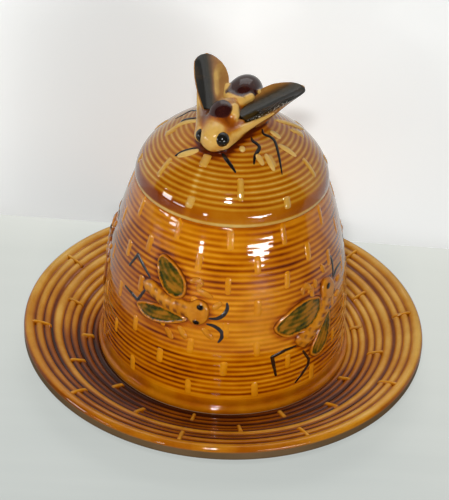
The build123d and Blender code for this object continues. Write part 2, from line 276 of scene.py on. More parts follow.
def pads(surface, centres, halfAcross, halfAlong, rise, sink, dip=None, seed=1):
    # domed bars, one for each (azimuth in degrees, place along): the lift is
    # rise (1 - u^2)^0.6 (1 - v^6) - sink at u, v between -1 and 1; a fan closes each below
    centres = np.asarray(centres, dtype=float)
    draw = np.random.default_rng(seed)
    across, along = 7, 15
    u, v = np.meshgrid(np.linspace(-1, 1, across), np.linspace(-1, 1, along))
    azimuth = np.radians(centres[:, 0])[:, None, None]
    place = centres[:, 1][:, None, None]
    skew = draw.uniform(-0.18, 0.18, (len(centres), 1, 1))
    wide = draw.uniform(0.88, 1.12, (len(centres), 1, 1))
    size = np.asarray(halfAlong)[:, None, None] if np.ndim(halfAlong) else halfAlong
    s = place + v * size
    reach = np.hypot(*np.moveaxis(surface(azimuth + 0 * s, s, 0 * s)[..., :2], -1, 0))
    a = azimuth + (u * wide * halfAcross + v * skew * halfAcross) / reach
    lift = rise * (1 - u**2) ** 0.6 * (1 - v**6) - sink + 0 * a
    if dip is not None:
        lift = lift - dip(a, s)
    top = surface(a, s, lift)
    base = surface(azimuth[:, 0], place[:, 0], np.full((len(centres), 1), -sink - 0.6))
    points = np.concatenate([top.reshape(len(centres), -1, 3), base], axis=1)
    one = gridQuads(along, across)
    one += fan(gridEdge(along, across), across * along, flip=True)
    faces = [[c + k * (across * along + 1) for c in face] for k in range(len(centres)) for face in one]
    shade = np.broadcast_to(np.clip(np.maximum(np.abs(u) ** 3, v**8), 0, 1), lift.shape)
    shade = np.concatenate([shade.reshape(len(centres), -1), np.ones((len(centres), 1))], axis=1)
    return points.reshape(-1, 3), faces, shade.ravel()


def stroke(surface, azimuth, place, across, halfWidth, rise, ground):
    # a flattened bead along a path on a surface: the ring at each step is
    # (cos t halfWidth, sin t rise), carried sideways by `across` and lifted on the surface
    count, ring = len(azimuth), 10
    t = np.linspace(0, 2 * math.pi, ring, endpoint=False)
    swell = np.sin(np.linspace(0.0, math.pi, count)) ** 0.35
    side = np.outer(swell * halfWidth, np.cos(t))
    a = azimuth[:, None] + side * across[0][:, None]
    s = place[:, None] + side * across[1][:, None]
    lift = np.outer(swell, np.sin(t)) * rise - ground(a, s)
    rings = surface(a, s, lift)[1:-1]
    tips = surface(azimuth[[0, -1]], place[[0, -1]], -ground(azimuth[[0, -1]], place[[0, -1]]))
    faces = gridQuads(count - 2, ring, wrap=True)
    faces += fan(np.arange(ring), (count - 2) * ring, flip=True)
    faces += fan(np.arange(ring) + (count - 3) * ring, (count - 2) * ring + 1)
    return np.concatenate([rings.reshape(-1, 3), tips]), faces


def joined(parts):
    # several (points, faces) as one
    points, faces, first = [], [], 0
    for some, corners in parts:
        points.append(some)
        faces += [[c + first for c in face] for face in corners]
        first += len(some)
    return np.concatenate(points), faces


class Link:
    # a socket that takes part in sums: each operator adds a Math node
    def __init__(self, paint, socket):
        self.paint, self.socket = paint, socket

    def calc(self, operation, *terms):
        return self.paint.node("ShaderNodeMath", {"operation": operation}, terms)

    def __add__(self, other):
        return self.calc("ADD", self, other)

    __radd__ = __add__

    def __sub__(self, other):
        return self.calc("SUBTRACT", self, other)

    def __rsub__(self, other):
        return self.calc("SUBTRACT", other, self)

    def __mul__(self, other):
        return self.calc("MULTIPLY", self, other)

    def held(self):
        return self.paint.node("ShaderNodeClamp", {}, {"Value": self})


class Paint:
    # one material and the nodes in it
    def __init__(self, name):
        self.material = bpy.data.materials.new(name)
        self.material.use_nodes = True
        self.tree = self.material.node_tree
        self.tree.nodes.clear()

    def node(self, kind, settings=None, values=(), output=0):
        item = self.tree.nodes.new(kind)
        for key, value in (settings or {}).items():
            setattr(item, key, value)
        for key, value in values.items() if isinstance(values, dict) else enumerate(values):
            if isinstance(value, Link):
                self.tree.links.new(value.socket, item.inputs[key])
            else:
                item.inputs[key].default_value = value
        return Link(self, item.outputs[output]) if item.outputs else item

    def field(self, name):
        return self.node("ShaderNodeAttribute", {"attribute_name": name}, {}, "Fac")

    def mix(self, factor, first, second):
        return self.node("ShaderNodeMix", {"data_type": "RGBA"}, {0: factor, 6: first, 7: second}, 2)

    def ramp(self, factor, stops):
        # each stop is its place from 0 to 1 and a colour of three values from 0 to 255
        item = self.tree.nodes.new("ShaderNodeValToRGB")
        elements = item.color_ramp.elements
        stops = [(place, tone(*colour)) for place, *colour in stops]
        elements[0].position, elements[0].color = stops[0]
        elements[1].position, elements[1].color = stops[-1]
        for place, colour in stops[1:-1]:
            elements.new(place).color = colour
        self.tree.links.new(factor.socket, item.inputs["Fac"])
        return Link(self, item.outputs[0])

    def axis(self, name):
        place = self.node("ShaderNodeTexCoord", {}, {}, "Object")
        return self.node("ShaderNodeSeparateXYZ", {}, {"Vector": place}, name)

    def ray(self, name):
        return self.node("ShaderNodeLightPath", {}, {}, name)

    def bump(self, height, strength, distance):
        return self.node("ShaderNodeBump", {}, {"Height": height, "Strength": strength, "Distance": distance})

    def noise(self, scale, detail=3.0, stretch=(1, 1, 1)):
        place = self.node("ShaderNodeTexCoord", {}, {}, "Object")
        place = self.node("ShaderNodeMapping", {}, {"Vector": place, "Scale": stretch})
        return self.node("ShaderNodeTexNoise", {}, {"Vector": place, "Scale": scale, "Detail": detail}, 0)

    def glow(self, colour, strength):
        shader = [item for item in self.tree.nodes if item.type == "BSDF_PRINCIPLED"][0]
        self.tree.links.new(colour.socket, shader.inputs["Emission Color"])
        shader.inputs["Emission Strength"].default_value = strength
        return shader

    def finish(self, colour, roughness, normal=None, coat=0.6, coatRough=0.03, shine=0.2):
        values = {"Base Color": colour, "Roughness": roughness, "Coat Weight": coat,
                  "Coat Roughness": coatRough, "Coat IOR": 1.5, "IOR": 1.5, "Specular IOR Level": shine}
        if normal is not None:
            values["Normal"] = normal
        shader = self.node("ShaderNodeBsdfPrincipled", {}, values)
        self.node("ShaderNodeOutputMaterial", {}, {"Surface": shader})
        return self.material


def tone(red, green, blue):
    # the linear colour of three values from 0 to 255
    share = np.array([red, green, blue]) / 255
    value = np.where(share <= 0.04045, share / 12.92, ((share + 0.055) / 1.055) ** 2.4)
    return (*value.tolist(), 1.0)


def honeyGlaze(name, look):
    # a clear amber glaze: pale where it runs thin on the crowns, brown where it pools, and bare clay; its
    # depth field also carries painted shade on some pieces
    paint = Paint(name)
    pool, bare = paint.field("pool"), paint.field("bare")
    cloud = paint.noise(look["cloudScale"], 3.0, look["stretch"])
    grain = paint.noise(900.0, 2.0)
    depth = pool * look["reach"] + (cloud - 0.5) * look["mottle"] + (grain - 0.5) * 0.06 + look["base"]
    rough = look["rough"] + (grain - 0.5) * 0.05
    clay = paint.mix(cloud, tone(*look["clay"][0]), tone(*look["clay"][1]))
    colour = paint.mix(bare, paint.ramp(depth.held(), look["stops"]), clay)
    skin = paint.bump(paint.noise(260.0, 2.0), 0.05, 0.0005)
    return paint.finish(colour, (rough + bare * 0.4).held(), skin, (1 - bare) * look["coat"],
                        shine=look["shine"])


potGlaze = honeyGlaze("potGlaze", {
    "clay": ((196, 160, 124), (216, 182, 148)),
    "cloudScale": 90.0, "stretch": (1, 1, 1.6), "reach": 0.56, "mottle": 0.66, "base": 0.2,
    "rough": 0.1, "coat": 1.0, "shine": 0.1,
    "stops": ((0.0, 238, 158, 30), (0.25, 214, 130, 6), (0.5, 188, 98, 0), (0.75, 142, 60, 0),
              (1.0, 86, 28, 0))})
saucerGlaze = honeyGlaze("saucerGlaze", {
    # the bare clay of the rim's outer side and underside, darkened as painted shade
    "clay": ((96, 76, 52), (128, 102, 72)),
    "cloudScale": 70.0, "stretch": (1, 1, 1), "reach": 0.78, "mottle": 0.4, "base": 0.06,
    "rough": 0.1, "coat": 0.7, "shine": 0.04,
    "stops": ((0.0, 240, 188, 84), (0.2, 212, 142, 30), (0.45, 166, 88, 4), (0.72, 108, 46, 2),
              (1.0, 58, 19, 0))})
lidGlaze = honeyGlaze("lidGlaze", {
    "clay": ((196, 160, 124), (216, 182, 148)),
    "cloudScale": 80.0, "stretch": (1, 1, 1), "reach": 0.55, "mottle": 0.44, "base": 0.23,
    "rough": 0.09, "coat": 0.9, "shine": 0.1,
    "stops": ((0.0, 230, 192, 110), (0.22, 204, 142, 32), (0.5, 178, 98, 2), (0.75, 138, 58, 0),
              (1.0, 84, 26, 2))})
print("materials: glazes made")


def caneShade(poolAndFrontShade, frontShadeDepth, inwards, azimuth):
    # how deep the glaze lies on the canes, row by row inwards from the rim: deeper in the grooves, darker
    # towards the front of the dish as painted shade, and paler on the left as painted light
    inwards = inwards[:, None]
    own = 1 + 0.16 * wander(azimuth, inwards * 0.55, 17)
    # painted shade: darker towards the front of the dish
    front = smoothStep((np.cos(azimuth + 0.25) + 0.3) / 1.3)
    # painted light: paler on the left side, less so towards the front
    left = np.clip(-np.sin(azimuth), 0, 1) * (1 - 0.5 * front)
    shade = poolAndFrontShade[:, None] * (0.62 + 0.3 * smoothStep(inwards / 9.0)) * own
    shade = shade * (0.74 + 0.3 * front - 0.12 * left) + 0.06 - 0.05 * left
    shade = shade + frontShadeDepth[:, None] * front * (0.75 + 0.25 * own)
    # painted shade on either side of the front, darker well inwards, and painted light on the right, paler
    # near the rim
    beside = smoothStep((np.abs(np.sin(azimuth)) - 0.3) / 0.35) * np.clip(np.cos(azimuth) * 1.6, 0, 1)
    shade = shade + 0.26 * smoothStep((inwards - 14.0) / 6.0) * beside
    shade = shade - 0.17 * (1 - smoothStep((inwards - 9.0) / 6.0)) * beside * (np.sin(azimuth) > 0)
    # along the rim's edge: darker at the sides, and paler at the front as a painted highlight
    rimEdge = 1 - smoothStep((inwards - 0.25) / 0.8)
    shade = shade + rimEdge * (0.2 - 0.5 * smoothStep((np.cos(azimuth) - 0.55) / 0.4))
    # next to the pot's foot at the front left, darker: pooled glaze and painted shadow of the foot
    return shade + 0.5 * smoothStep((inwards - 25.5) / 3.0) * np.clip(np.cos(azimuth + 0.9), 0, 1)


def makeSaucer():
    # a ring of canes: each crown rises crown * width * (1 - t^2) above the dish between its edges
    radius, rows = [], []
    edge = saucer["rim"]
    for bundle, poolAndFrontShade in zip(saucer["canes"], saucer["poolAndFrontShade"]):
        for width, frontShadeDepth in zip(bundle, poolAndFrontShade):
            t = np.linspace(-1, 1, saucer["caneSteps"] + 1)[:-1]
            radius.append(edge - width * (t + 1) / 2)
            rows.append(np.stack([np.abs(t) ** 3, np.full(len(t), width), np.full(len(t), frontShadeDepth)], axis=-1))
            edge -= width
        t = np.linspace(0, 1, saucer["gapSteps"] + 1)[:-1]
        radius.append(edge - saucer["gap"] * t)
        rows.append(np.stack([np.full(len(t), 1.0), np.zeros(len(t)), np.full(len(t), 0.6)], axis=-1))
        edge -= saucer["gap"]
    radius, rows = np.concatenate(radius), np.concatenate(rows)
    keep = radius >= saucer["well"]
    radius, (poolAndFrontShade, width, frontShadeDepth) = radius[keep], rows[keep].T
    top = dishHeight(radius) + saucer["crown"] * width * (1 - np.clip(poolAndFrontShade, 0, 1) ** (2 / 3))
    azimuth = wholeTurn(saucer["around"])
    under = np.array(saucer["underside"] + saucer["edge"])
    floorRings = saucer["floorRings"]
    r = np.concatenate([under[:, 0], radius[1:], floorRings])[:, None]
    z = np.concatenate([under[:, 1], top[1:], [saucer["floor"]] * len(floorRings)])[:, None]
    flat = np.ones_like(azimuth)
    canes = caneShade(poolAndFrontShade[1:], frontShadeDepth[1:], saucer["rim"] - radius[1:], azimuth)
    shade = np.concatenate([np.full((len(under) - 1, 1), 0.4) * flat, canes[:1], canes,
                            np.full((len(floorRings), 1), 0.75) * flat])
    wave = 0.25 * wander(azimuth, z * 0, 12)
    r = r - np.abs(wave) * np.clip((r - 60) / 20, 0, 1) * 0.5
    low = np.arange(len(z))[:, None] < len(under) - 1        # bare clay below and up the side of the edge
    return (*turned(r, z + 0 * wave, azimuth),
            {"pool": turnedField(shade), "bare": turnedField(low + 0 * wave)})


points, faces, fields = makeSaucer()
addPiece("saucerDish", points, faces, "saucer", ["saucer"], saucerGlaze, fields)

ties = {
    "step": 36.0,
    "rings": ((-10.5, 73.15, 4.8), (7.5, 61.9, 3.7), (-10.0, 54.6, 2.9)),   # azimuth, radius, half length
    "count": 10,
    "half": 1.1,
    "rise": 1.5,
    "sink": 1.0,
}
centres = [(first + k * ties["step"], radius) for first, radius, half in ties["rings"]
           for k in range(ties["count"])]
halves = np.repeat([half for first, radius, half in ties["rings"]], ties["count"])
points, faces, shade = pads(saucerSurface, centres, ties["half"], halves, ties["rise"], ties["sink"], seed=5)
addPiece("saucerTies", points, faces, "saucer", [], saucerGlaze, {"pool": shade * 0.85 + 0.1})
print("saucer: dish and", len(centres), "ties")

# bees raised on the pot's wall, in a bee's own directions: a towards its head, b to its left
beeShapes = {
    "climbing": {
        "body": ((-18.7, -1.2), (-16.0, 1.5), (-12.5, 1.7), (-9.0, 0.9), (-5.0, 0.9), (-1.5, 2.1), (1.8, 2.6),
                 (3.8, 4.7), (7.0, 4.9), (9.3, 3.0), (10.1, -0.5), (9.4, -3.2), (7.0, -5.3), (4.4, -4.9),
                 (2.4, -3.8), (-1.5, -4.6), (-6.0, -4.9), (-12.0, -4.1), (-16.5, -3.5)),
        "wings": (((-16.6, 11.6), (-15.2, 13.8), (-12.0, 14.0), (-8.0, 13.2), (-5.0, 11.8), (-2.2, 9.6),
                   (-0.8, 6.6), (-0.8, 3.4), (-2.8, 1.4), (-5.6, 0.7), (-8.6, 1.2), (-11.6, 3.2),
                   (-14.4, 6.0), (-16.2, 9.0)),
                  ((-18.2, -11.4), (-16.4, -8.8), (-12.8, -6.2), (-8.0, -4.4), (-3.6, -3.6), (0.0, -3.6),
                   (3.0, -4.2), (2.6, -6.2), (-1.8, -9.6), (-5.5, -11.8), (-9.5, -13.4), (-14.0, -13.6))),
        "eyes": ((6.1, 2.7), (6.5, -3.7)),
        "bars": (((-0.8, 9.6), (1.2, 11.3), (3.4, 11.1), (2.4, 8.7)), ((2.4, 8.6), (5.6, 7.9), (9.4, 7.4)),
                 ((10.5, 3.2), (13.0, 6.9)), ((-3.4, -12.1), (0.6, -15.5)), ((0.9, -8.6), (5.2, -12.7)),
                 ((9.0, -5.4), (14.2, -8.7))),
        "antennae": (((10.1, -1.0), (13.1, 0.0), (15.0, 2.2), (15.6, 5.0), (14.8, 7.3)),
                     ((9.9, -3.4), (13.1, -3.3), (16.1, -4.7), (16.9, -6.9), (16.2, -9.7))),
        "legs": (((-16.4, 1.8), (-20.9, 3.4), (-26.3, 4.9), (-28.5, -2.4)),
                 ((-16.6, -4.0), (-18.2, -10.4), (-21.9, -10.3), (-26.8, -10.9))),
    },
    "turning": {
        "body": ((-19.4, -1.2), (-18.7, 2.4), (-16.5, 3.3), (-13.6, 2.2), (-10.0, 0.6), (-6.0, -0.4),
                 (-2.0, 0.3), (1.0, 2.0), (3.4, 3.8), (6.2, 4.4), (8.2, 2.8), (9.2, -0.6), (8.0, -4.4),
                 (5.2, -5.9), (2.6, -5.7), (-0.5, -6.0), (-5.0, -6.0), (-11.0, -5.3), (-16.0, -4.8),
                 (-18.6, -3.5)),
        "wings": (((-18.7, 14.4), (-16.6, 15.4), (-12.2, 14.6), (-6.9, 12.7), (-2.5, 9.5), (0.0, 5.4),
                   (0.7, 2.3), (-1.9, -0.4), (-5.6, -1.5), (-9.3, -1.0), (-12.4, 0.6), (-15.4, 3.6),
                   (-18.6, 7.0), (-19.5, 11.4)),
                  ((-1.6, -6.0), (-4.0, -9.8), (-7.6, -12.6), (-12.0, -14.8), (-16.6, -15.0), (-20.1, -12.6),
                   (-20.6, -9.0), (-18.2, -6.8), (-14.0, -6.0), (-8.0, -5.2))),
        "eyes": ((5.4, 1.2), (5.0, -5.0)),
        "bars": (((-2.2, 11.4), (-0.3, 13.0), (1.6, 12.1), (1.3, 9.6), (-0.6, 9.4)), ((5.3, 9.2), (2.6, 6.5)),
                 ((11.1, 8.4), (9.6, 4.5)), ((3.4, -9.0), (6.4, -11.6)), ((9.0, -6.8), (11.6, -9.6))),
        "antennae": (((9.2, -2.7), (11.0, -2.4), (13.2, -0.9), (15.6, 1.6), (16.2, 5.6)),
                     ((9.6, -3.6), (11.6, -4.2), (14.0, -5.6), (17.2, -10.1))),
        "legs": (((-19.6, 0.4), (-22.9, 3.7), (-27.7, 6.6), (-30.4, 3.1), (-33.4, -1.0)),
                 ((-20.2, -4.0), (-22.2, -10.2), (-24.4, -11.6), (-28.9, -11.6), (-32.7, -11.3))),
    },
}
wallBee = {
    "spacing": 0.34,
    "along": (-21.5, 12.5),  # the grid's reach
    "across": (-16.5, 16.8),
    "sink": 1.35,            # of the relief's underside, below the coils' crowns
    "bodyRise": 1.5,
    "bodyRound": 2.8,        # how far in from its outline the body keeps swelling
    "wingRise": 0.85,
    "rim": 1.1,              # width of the wings' plain edge
    "segment": 3.1,
    "eyeSize": (1.3, 1.1),
    "barWidth": 1.2,
    "barRise": 0.72,
    "lineWidth": 0.78,
    "lineRise": 0.16,
}
wallBees = {
    "frontLeft": {"node": "wall_bee_front_left", "azimuth": -19.5, "height": 45.0, "heading": -13.0,
                  "shape": "climbing"},
    "frontRight": {"node": "wall_bee_front_right", "azimuth": 52.0, "height": 40.8, "heading": 48.5,
                   "shape": "turning"},
    "sideRight": {"node": "wall_bee_side_right", "azimuth": 124.5, "height": 45.0, "heading": -13.0,
                  "shape": "climbing"},
    "back": {"node": "wall_bee_back", "azimuth": 196.0, "height": 40.8, "heading": 48.5, "shape": "turning"},
    "sideLeft": {"node": "wall_bee_side_left", "azimuth": 262.0, "height": 42.0, "heading": 80.0,
                 "shape": "climbing"},
}


def beeReach(bee):
    return float(np.hypot(*potSurface(0.0, np.float64(bee["height"]), 0.0)[:2]))


def beeSpot(bee, a, b):
    # azimuth and height of a place given in the bee's directions
    turn = math.radians(bee["heading"])
    return (math.radians(bee["azimuth"]) + (a * math.cos(turn) - b * math.sin(turn)) / beeReach(bee),
            bee["height"] + a * math.sin(turn) + b * math.cos(turn))


def beePlace(bee, azimuth, height):
    # the reverse of beeSpot
    turn = math.radians(bee["heading"])
    over = (azimuth - math.radians(bee["azimuth"]) + math.pi) % (2 * math.pi) - math.pi
    over, rise = over * beeReach(bee), height - bee["height"]
    return over * math.cos(turn) + rise * math.sin(turn), -over * math.sin(turn) + rise * math.cos(turn)


def insideBy(a, b, outline):
    # distance to a closed smooth outline, positive inside it: the nearest of its short sides, with
    # the sign from the number of sides that a ray towards +a crosses
    ring = np.array(outline)
    ring = curveThrough(np.concatenate([ring[-1:], ring, ring[:2]]), 4 * (len(ring) + 2) + 1)[4:-4]
    place = np.stack([a.ravel(), b.ravel()], axis=-1)[:, None, :]
    start, end = ring[:-1], ring[1:]
    run = end - start
    t = np.clip(np.sum((place - start) * run, axis=-1) / np.sum(run**2, axis=-1), 0, 1)
    near = np.min(np.linalg.norm(place - start - t[..., None] * run, axis=-1), axis=1)
    crosses = (start[:, 1] > place[..., 1]) != (end[:, 1] > place[..., 1])
    rise = np.where(np.abs(run[:, 1]) < 1e-9, 1e-9, run[:, 1])
    at = start[:, 0] + (place[..., 1] - start[:, 1]) / rise * run[:, 0]
    odd = np.sum(crosses & (at > place[..., 0]), axis=1) % 2 == 1
    return (np.where(odd, 1.0, -1.0) * near).reshape(a.shape)


def beeWing(outline, a, b):
    # a flat leaf with a raised edge: its height, how green it is painted and how dark
    inside = insideBy(a, b, outline)
    dish = smoothStep((inside - wallBee["rim"] + 0.45) / 0.9)
    run = np.subtract(outline[0], np.mean(outline, axis=0))
    run /= np.linalg.norm(run)
    along, over = a * run[0] + b * run[1], -a * run[1] + b * run[0]
    vein = (0.6 * np.cos(3.4 * over + 0.9 * np.sin(0.35 * along))
            + 0.4 * np.cos(6.1 * over - 0.5 * along + 1.0))
    flat = wallBee["wingRise"] * (smoothStep(inside / 0.7) - 0.42 * dish) + 0.05 * vein * dish
    ragged = (0.5 * np.sin(1.9 * along + 1.1 * over) + 0.4 * np.sin(4.3 * along - 2.0 * over)
              + 0.3 * np.sin(7.7 * along + 3.0 * over))
    paint = smoothStep((inside - wallBee["rim"] + 0.3 * ragged) / 0.8 + 0.5)
    blot = 0.35 * np.sin(0.55 * along + 0.9) + 0.3 * np.sin(1.1 * over - 0.8 * along)
    streak = smoothStep(0.5 + 0.5 * np.cos(3.1 * over + 1.2 * np.sin(0.4 * along)) + 0.25 * ragged)
    border = np.exp(-((inside - wallBee["rim"] - 0.2) / (0.8 + 0.5 * ragged * (ragged > 0))) ** 2)
    shade = np.clip(0.7 * border + 0.45 * streak + 0.9 * blot + 0.14, 0, 1.2)
    return np.where(inside > 0, flat, inside), paint, shade


def beeRelief(shape, a, b):
    # height over the crowns and the fields that colour it; the body is a cushion, the square root of
    # 1 - (1 - d)^2 in from its outline, and runs into the wings
    body = insideBy(a, b, shape["body"])
    share = np.clip(body / wallBee["bodyRound"], 0, 1)
    ring = np.cos(2 * math.pi * (a - 0.06 * b**2 + 1.0) / wallBee["segment"]) * (a < 2.5)
    cushion = wallBee["bodyRise"] * np.sqrt(np.clip(1 - (1 - share) ** 2, 0, 1)) * (0.93 + 0.09 * ring)
    levels, green, dark = [np.where(body > 0, cushion, 1.1 * body)], np.zeros_like(a), np.zeros_like(a)
    for outline in shape["wings"]:
        level, paint, shade = beeWing(outline, a, b)
        levels.append(level)
        dark = np.where(paint > green, shade, dark)
        green = np.maximum(green, paint)
    stack = np.stack(levels)
    level = np.log(np.sum(np.exp(np.clip(stack, -3, 4) / 0.16), axis=0)) * 0.16
    onBody = smoothStep((stack[0] - np.max(stack[1:], axis=0)) / 0.4 + 0.5)
    dab = smoothStep(0.5 - ring) * (a < 2.2) * np.maximum(
        smoothStep((1.4 - np.abs(b + 3.2)) / 1.2), 0.8 * smoothStep((1.0 - np.abs(b - 0.2)) / 0.9))
    eye = np.zeros_like(a)
    for place in shape["eyes"]:
        d = np.hypot((a - place[0]) / wallBee["eyeSize"][0], (b - place[1]) / wallBee["eyeSize"][1])
        level = level + 0.25 * np.sqrt(np.clip(1 - d**2, 0, 1))
        eye = np.maximum(eye, smoothStep((1 - d) / 0.3 + 0.5))
    return np.clip(level, -1.05, None), {
        "green": green * (1 - onBody), "dark": dark, "dab": dab * onBody, "eye": eye,
        "pool": np.clip(1.0 - 0.86 * smoothStep(level / 0.9), 0, 1)}


def makeWallBee(bee):
    # the relief over a grid on the wall, closed below the crowns, with the small raised legs
    step = wallBee["spacing"]
    a, b = np.meshgrid(np.arange(*wallBee["along"], step), np.arange(*wallBee["across"], step), indexing="ij")
    shape = beeShapes[bee["shape"]]
    level, fields = beeRelief(shape, a, b)
    azimuth, height = beeSpot(bee, a, b)
    top, base = potSurface(azimuth, height, level), potSurface(azimuth, height, 0 * a - wallBee["sink"])
    rows, columns = a.shape
    faces = [face[::-1] for face in gridQuads(rows, columns)]
    faces += gridQuads(rows, columns, first=rows * columns)
    edge = gridEdge(rows, columns)
    after = np.roll(edge, -1)
    faces += np.stack([edge, after, after + rows * columns, edge + rows * columns], axis=-1).tolist()
    parts = [(np.concatenate([top.reshape(-1, 3), base.reshape(-1, 3)]), faces)]
    parts += [lineOnWall(bee, bar, wallBee["barWidth"], wallBee["barRise"]) for bar in shape["bars"]]
    points, faces = joined(parts)
    bars = len(points) - 2 * a.size
    rest = {key: np.concatenate([np.zeros(a.size), np.full(bars, 0.1 if key == "pool" else 0.0)])
            for key in fields}
    return points, faces, {key: np.concatenate([value.ravel(), rest[key]]) for key, value in fields.items()}


def wayAlong(path, count):
    # a smooth curve through the points, with its direction at each step
    way = curveThrough(path, count)
    run = np.gradient(way, axis=0)
    return way, run / np.linalg.norm(run, axis=1)[:, None]


def cornered(path):
    # two more points on each side of every corner, so that a curve through them keeps it sharp
    path = np.asarray(path)
    near = [[start, 0.85 * start + 0.15 * end, 0.15 * start + 0.85 * end]
            for start, end in zip(path, path[1:])]
    return np.concatenate([*near, path[-1:]])


def lineOnWall(bee, path, halfWidth, rise):
    # a bead along a path given in the bee's own directions
    way, run = wayAlong(path, 8 * len(path))
    azimuth, height = beeSpot(bee, way[:, 0], way[:, 1])
    sideAz, sideUp = beeSpot(bee, way[:, 0] - run[:, 1], way[:, 1] + run[:, 0])
    return stroke(potSurface, azimuth, height, (sideAz - azimuth, sideUp - height), halfWidth, rise,
                  lambda a, s: pot["groove"] * 0.9 * coilDip(potCoil(a, s)) - 0.02)


def beeGlaze():
    # amber over the relief, with green-brown paint on the wings, dabs down the back and black eyes
    paint = Paint("beeGlaze")
    green, dark = paint.field("green"), paint.field("dark")
    cloud, fine = paint.noise(260.0, 3.0), paint.noise(700.0, 2.0)
    depth = paint.field("pool") + (cloud - 0.5) * 0.9 + (fine - 0.5) * 0.2
    honey = paint.ramp(depth.held(), (
        (0.0, 218, 142, 34), (0.3, 194, 114, 12), (0.6, 164, 84, 2), (1.0, 100, 38, 0)))
    shade = dark * 0.8 + (cloud - 0.5) * 1.1 + (fine - 0.5) * 0.3
    wing = paint.ramp(shade.held(), (
        (0.0, 172, 112, 22), (0.3, 134, 92, 14), (0.6, 90, 76, 8), (1.0, 42, 50, 12)))
    colour = paint.mix((paint.field("dab") * (cloud * 0.7 + 0.45)).held(), honey, tone(112, 54, 26))
    colour = paint.mix((green + (fine - 0.5) * 0.3).held() * green, colour, wing)
    colour = paint.mix(paint.field("eye").held(), colour, tone(10, 9, 7))
    return paint.finish(colour, 0.1, None, 0.5)


def lineEnamel(name, dark, light):
    # dark paint under the glaze, paler where it is thin
    paint = Paint(name)
    cloud = paint.noise(420.0, 2.0)
    return paint.finish(paint.mix(cloud, dark, light), 0.12 + (cloud - 0.5) * 0.05, None, 0.9, shine=0.05)


def beeHalo(azimuth, height):
    # 1 at and inside a bee's outline and 0 well away from it, where the glaze pools round the bees
    halo = np.zeros_like(azimuth)
    for bee in wallBees.values():
        a, b = beePlace(bee, azimuth, height)
        near = np.nonzero((a > -25) & (a < 15) & (np.abs(b) < 20))        # all that a bee can reach
        shape = beeShapes[bee["shape"]]
        for outline in (shape["body"], *shape["wings"]):
            apart = -insideBy(a[near], b[near], outline)
            halo[near] = np.maximum(halo[near], smoothStep((pot["halo"] - apart) / pot["halo"]))
    return halo


def makePot():
    # rings from the middle of the underside up the coiled wall, over the mouth and down the inside,
    # where the radius is 44.5 - 13 s^2.4 at the share s of the height
    azimuth = wholeTurn(pot["around"])
    coil = np.linspace(pot["firstCoil"], pot["lastCoil"], pot["coils"] * 9 + 1)[:, None]
    dip = coilDip(potCoil(azimuth, coil)) * smoothStep((coil - pot["firstCoil"] + 0.4) / 2.4)
    deep = pot["groove"] * (0.8 + 0.3 * wander(azimuth, coil * 0.5, 21))
    wall = potSurface(azimuth + 0 * dip, coil + 0 * dip, -dip * deep)
    roll = curveThrough(np.array(pot["roll"]) + (0, pot["foot"]), pot["rollSteps"] + 1)[:-1]
    shares = np.linspace(1, 0.06, 14)
    inside = np.stack([44.5 - 13.0 * shares**2.4, 9.5 + 71.5 * shares], axis=-1)
    low = np.concatenate([np.array(pot["underside"]) + (0, pot["foot"]), roll])
    high = np.concatenate([pot["mouth"], inside[1:], pot["insideFloor"]])
    flat = np.ones_like(azimuth)
    r = np.concatenate([low[:, :1] * flat, np.hypot(wall[..., 0], wall[..., 1]), high[:, :1] * flat])
    z = np.concatenate([low[:, 1:] * flat, wall[..., 2], high[:, 1:] * flat])
    groove = np.round(potCoil(azimuth, coil))          # one strength for each groove
    own = wander(azimuth * 2, groove * 2.3, 41) + 0.6 * np.sin(groove * 12.9)
    # random unevenness, with painted shade darker on both sides and on the left
    mottleAndSideShade = wander(azimuth, coil * 0.09, 31) - 0.75 * np.cos(2 * azimuth) - 0.4 * np.sin(azimuth)
    faint = np.exp(-((coil - 38) / 14) ** 2) * smoothStep((np.cos(azimuth - 0.17) - 0.8) / 0.15)
    halo = beeHalo(azimuth + 0 * coil, coil + 0 * azimuth)
    t = np.linspace(0, 1, len(roll), endpoint=False)[:, None]
    shade = np.concatenate([
        np.full((len(pot["underside"]), 1), 0.7) * flat,
        np.interp(t, *pot["rollShade"]) + 0.14 * wander(azimuth * 3, t, 31),
        dip * (1 - 0.3 * faint) * np.clip(0.76 + 0.42 * own, 0.1, 1.5) + 0.62 * halo + 0.18 * mottleAndSideShade + 0.06,
        np.full((len(high), 1), 0.45) * flat])
    clayLine = smoothStep((pot["foot"] + 0.66 - roll[:, 1]) / 0.2)
    standing = np.arange(len(pot["underside"])) >= 4          # the ring it stands on is bare too
    bare = np.concatenate([standing, clayLine, np.zeros(len(r) - len(low))])[:, None]
    return (*turned(r, z, azimuth), {"pool": turnedField(shade), "bare": turnedField(bare * flat)})


points, faces, fields = makePot()
addPiece("potWall", points, faces, "pot", ["pot"], potGlaze, fields)

stitches = {
    "bands": (71.9, 62.5, 55.0, 46.2, 37.4, 29.0, 20.7, 10.3),      # middles, from the top
    "halfHeights": (4.6, 4.1, 4.1, 4.1, 4.1, 4.1, 4.0, 4.3),
    "starts": (1.0, 15.5, 1.0, 15.5, 1.0, 15.5, 1.0, 15.5),
    "step": 30.0,
    "count": 12,             # in each band
    "halfWidth": 1.8,
    "rise": 0.74,
    "sink": 0.45,
}
centres = [(start + stitches["step"] * k, height)
           for start, height in zip(stitches["starts"], stitches["bands"]) for k in range(stitches["count"])]
halves = np.repeat(stitches["halfHeights"], stitches["count"])
points, faces, shade = pads(
    potSurface, centres, stitches["halfWidth"], halves, stitches["rise"], stitches["sink"],
    lambda a, s: 0.08 * coilDip(potCoil(a, s)), seed=2)
addPiece("potStitches", points, faces, "pot", [], potGlaze, {"pool": shade * 0.5 - 0.1})
print("pot: wall and", len(centres), "stitches")

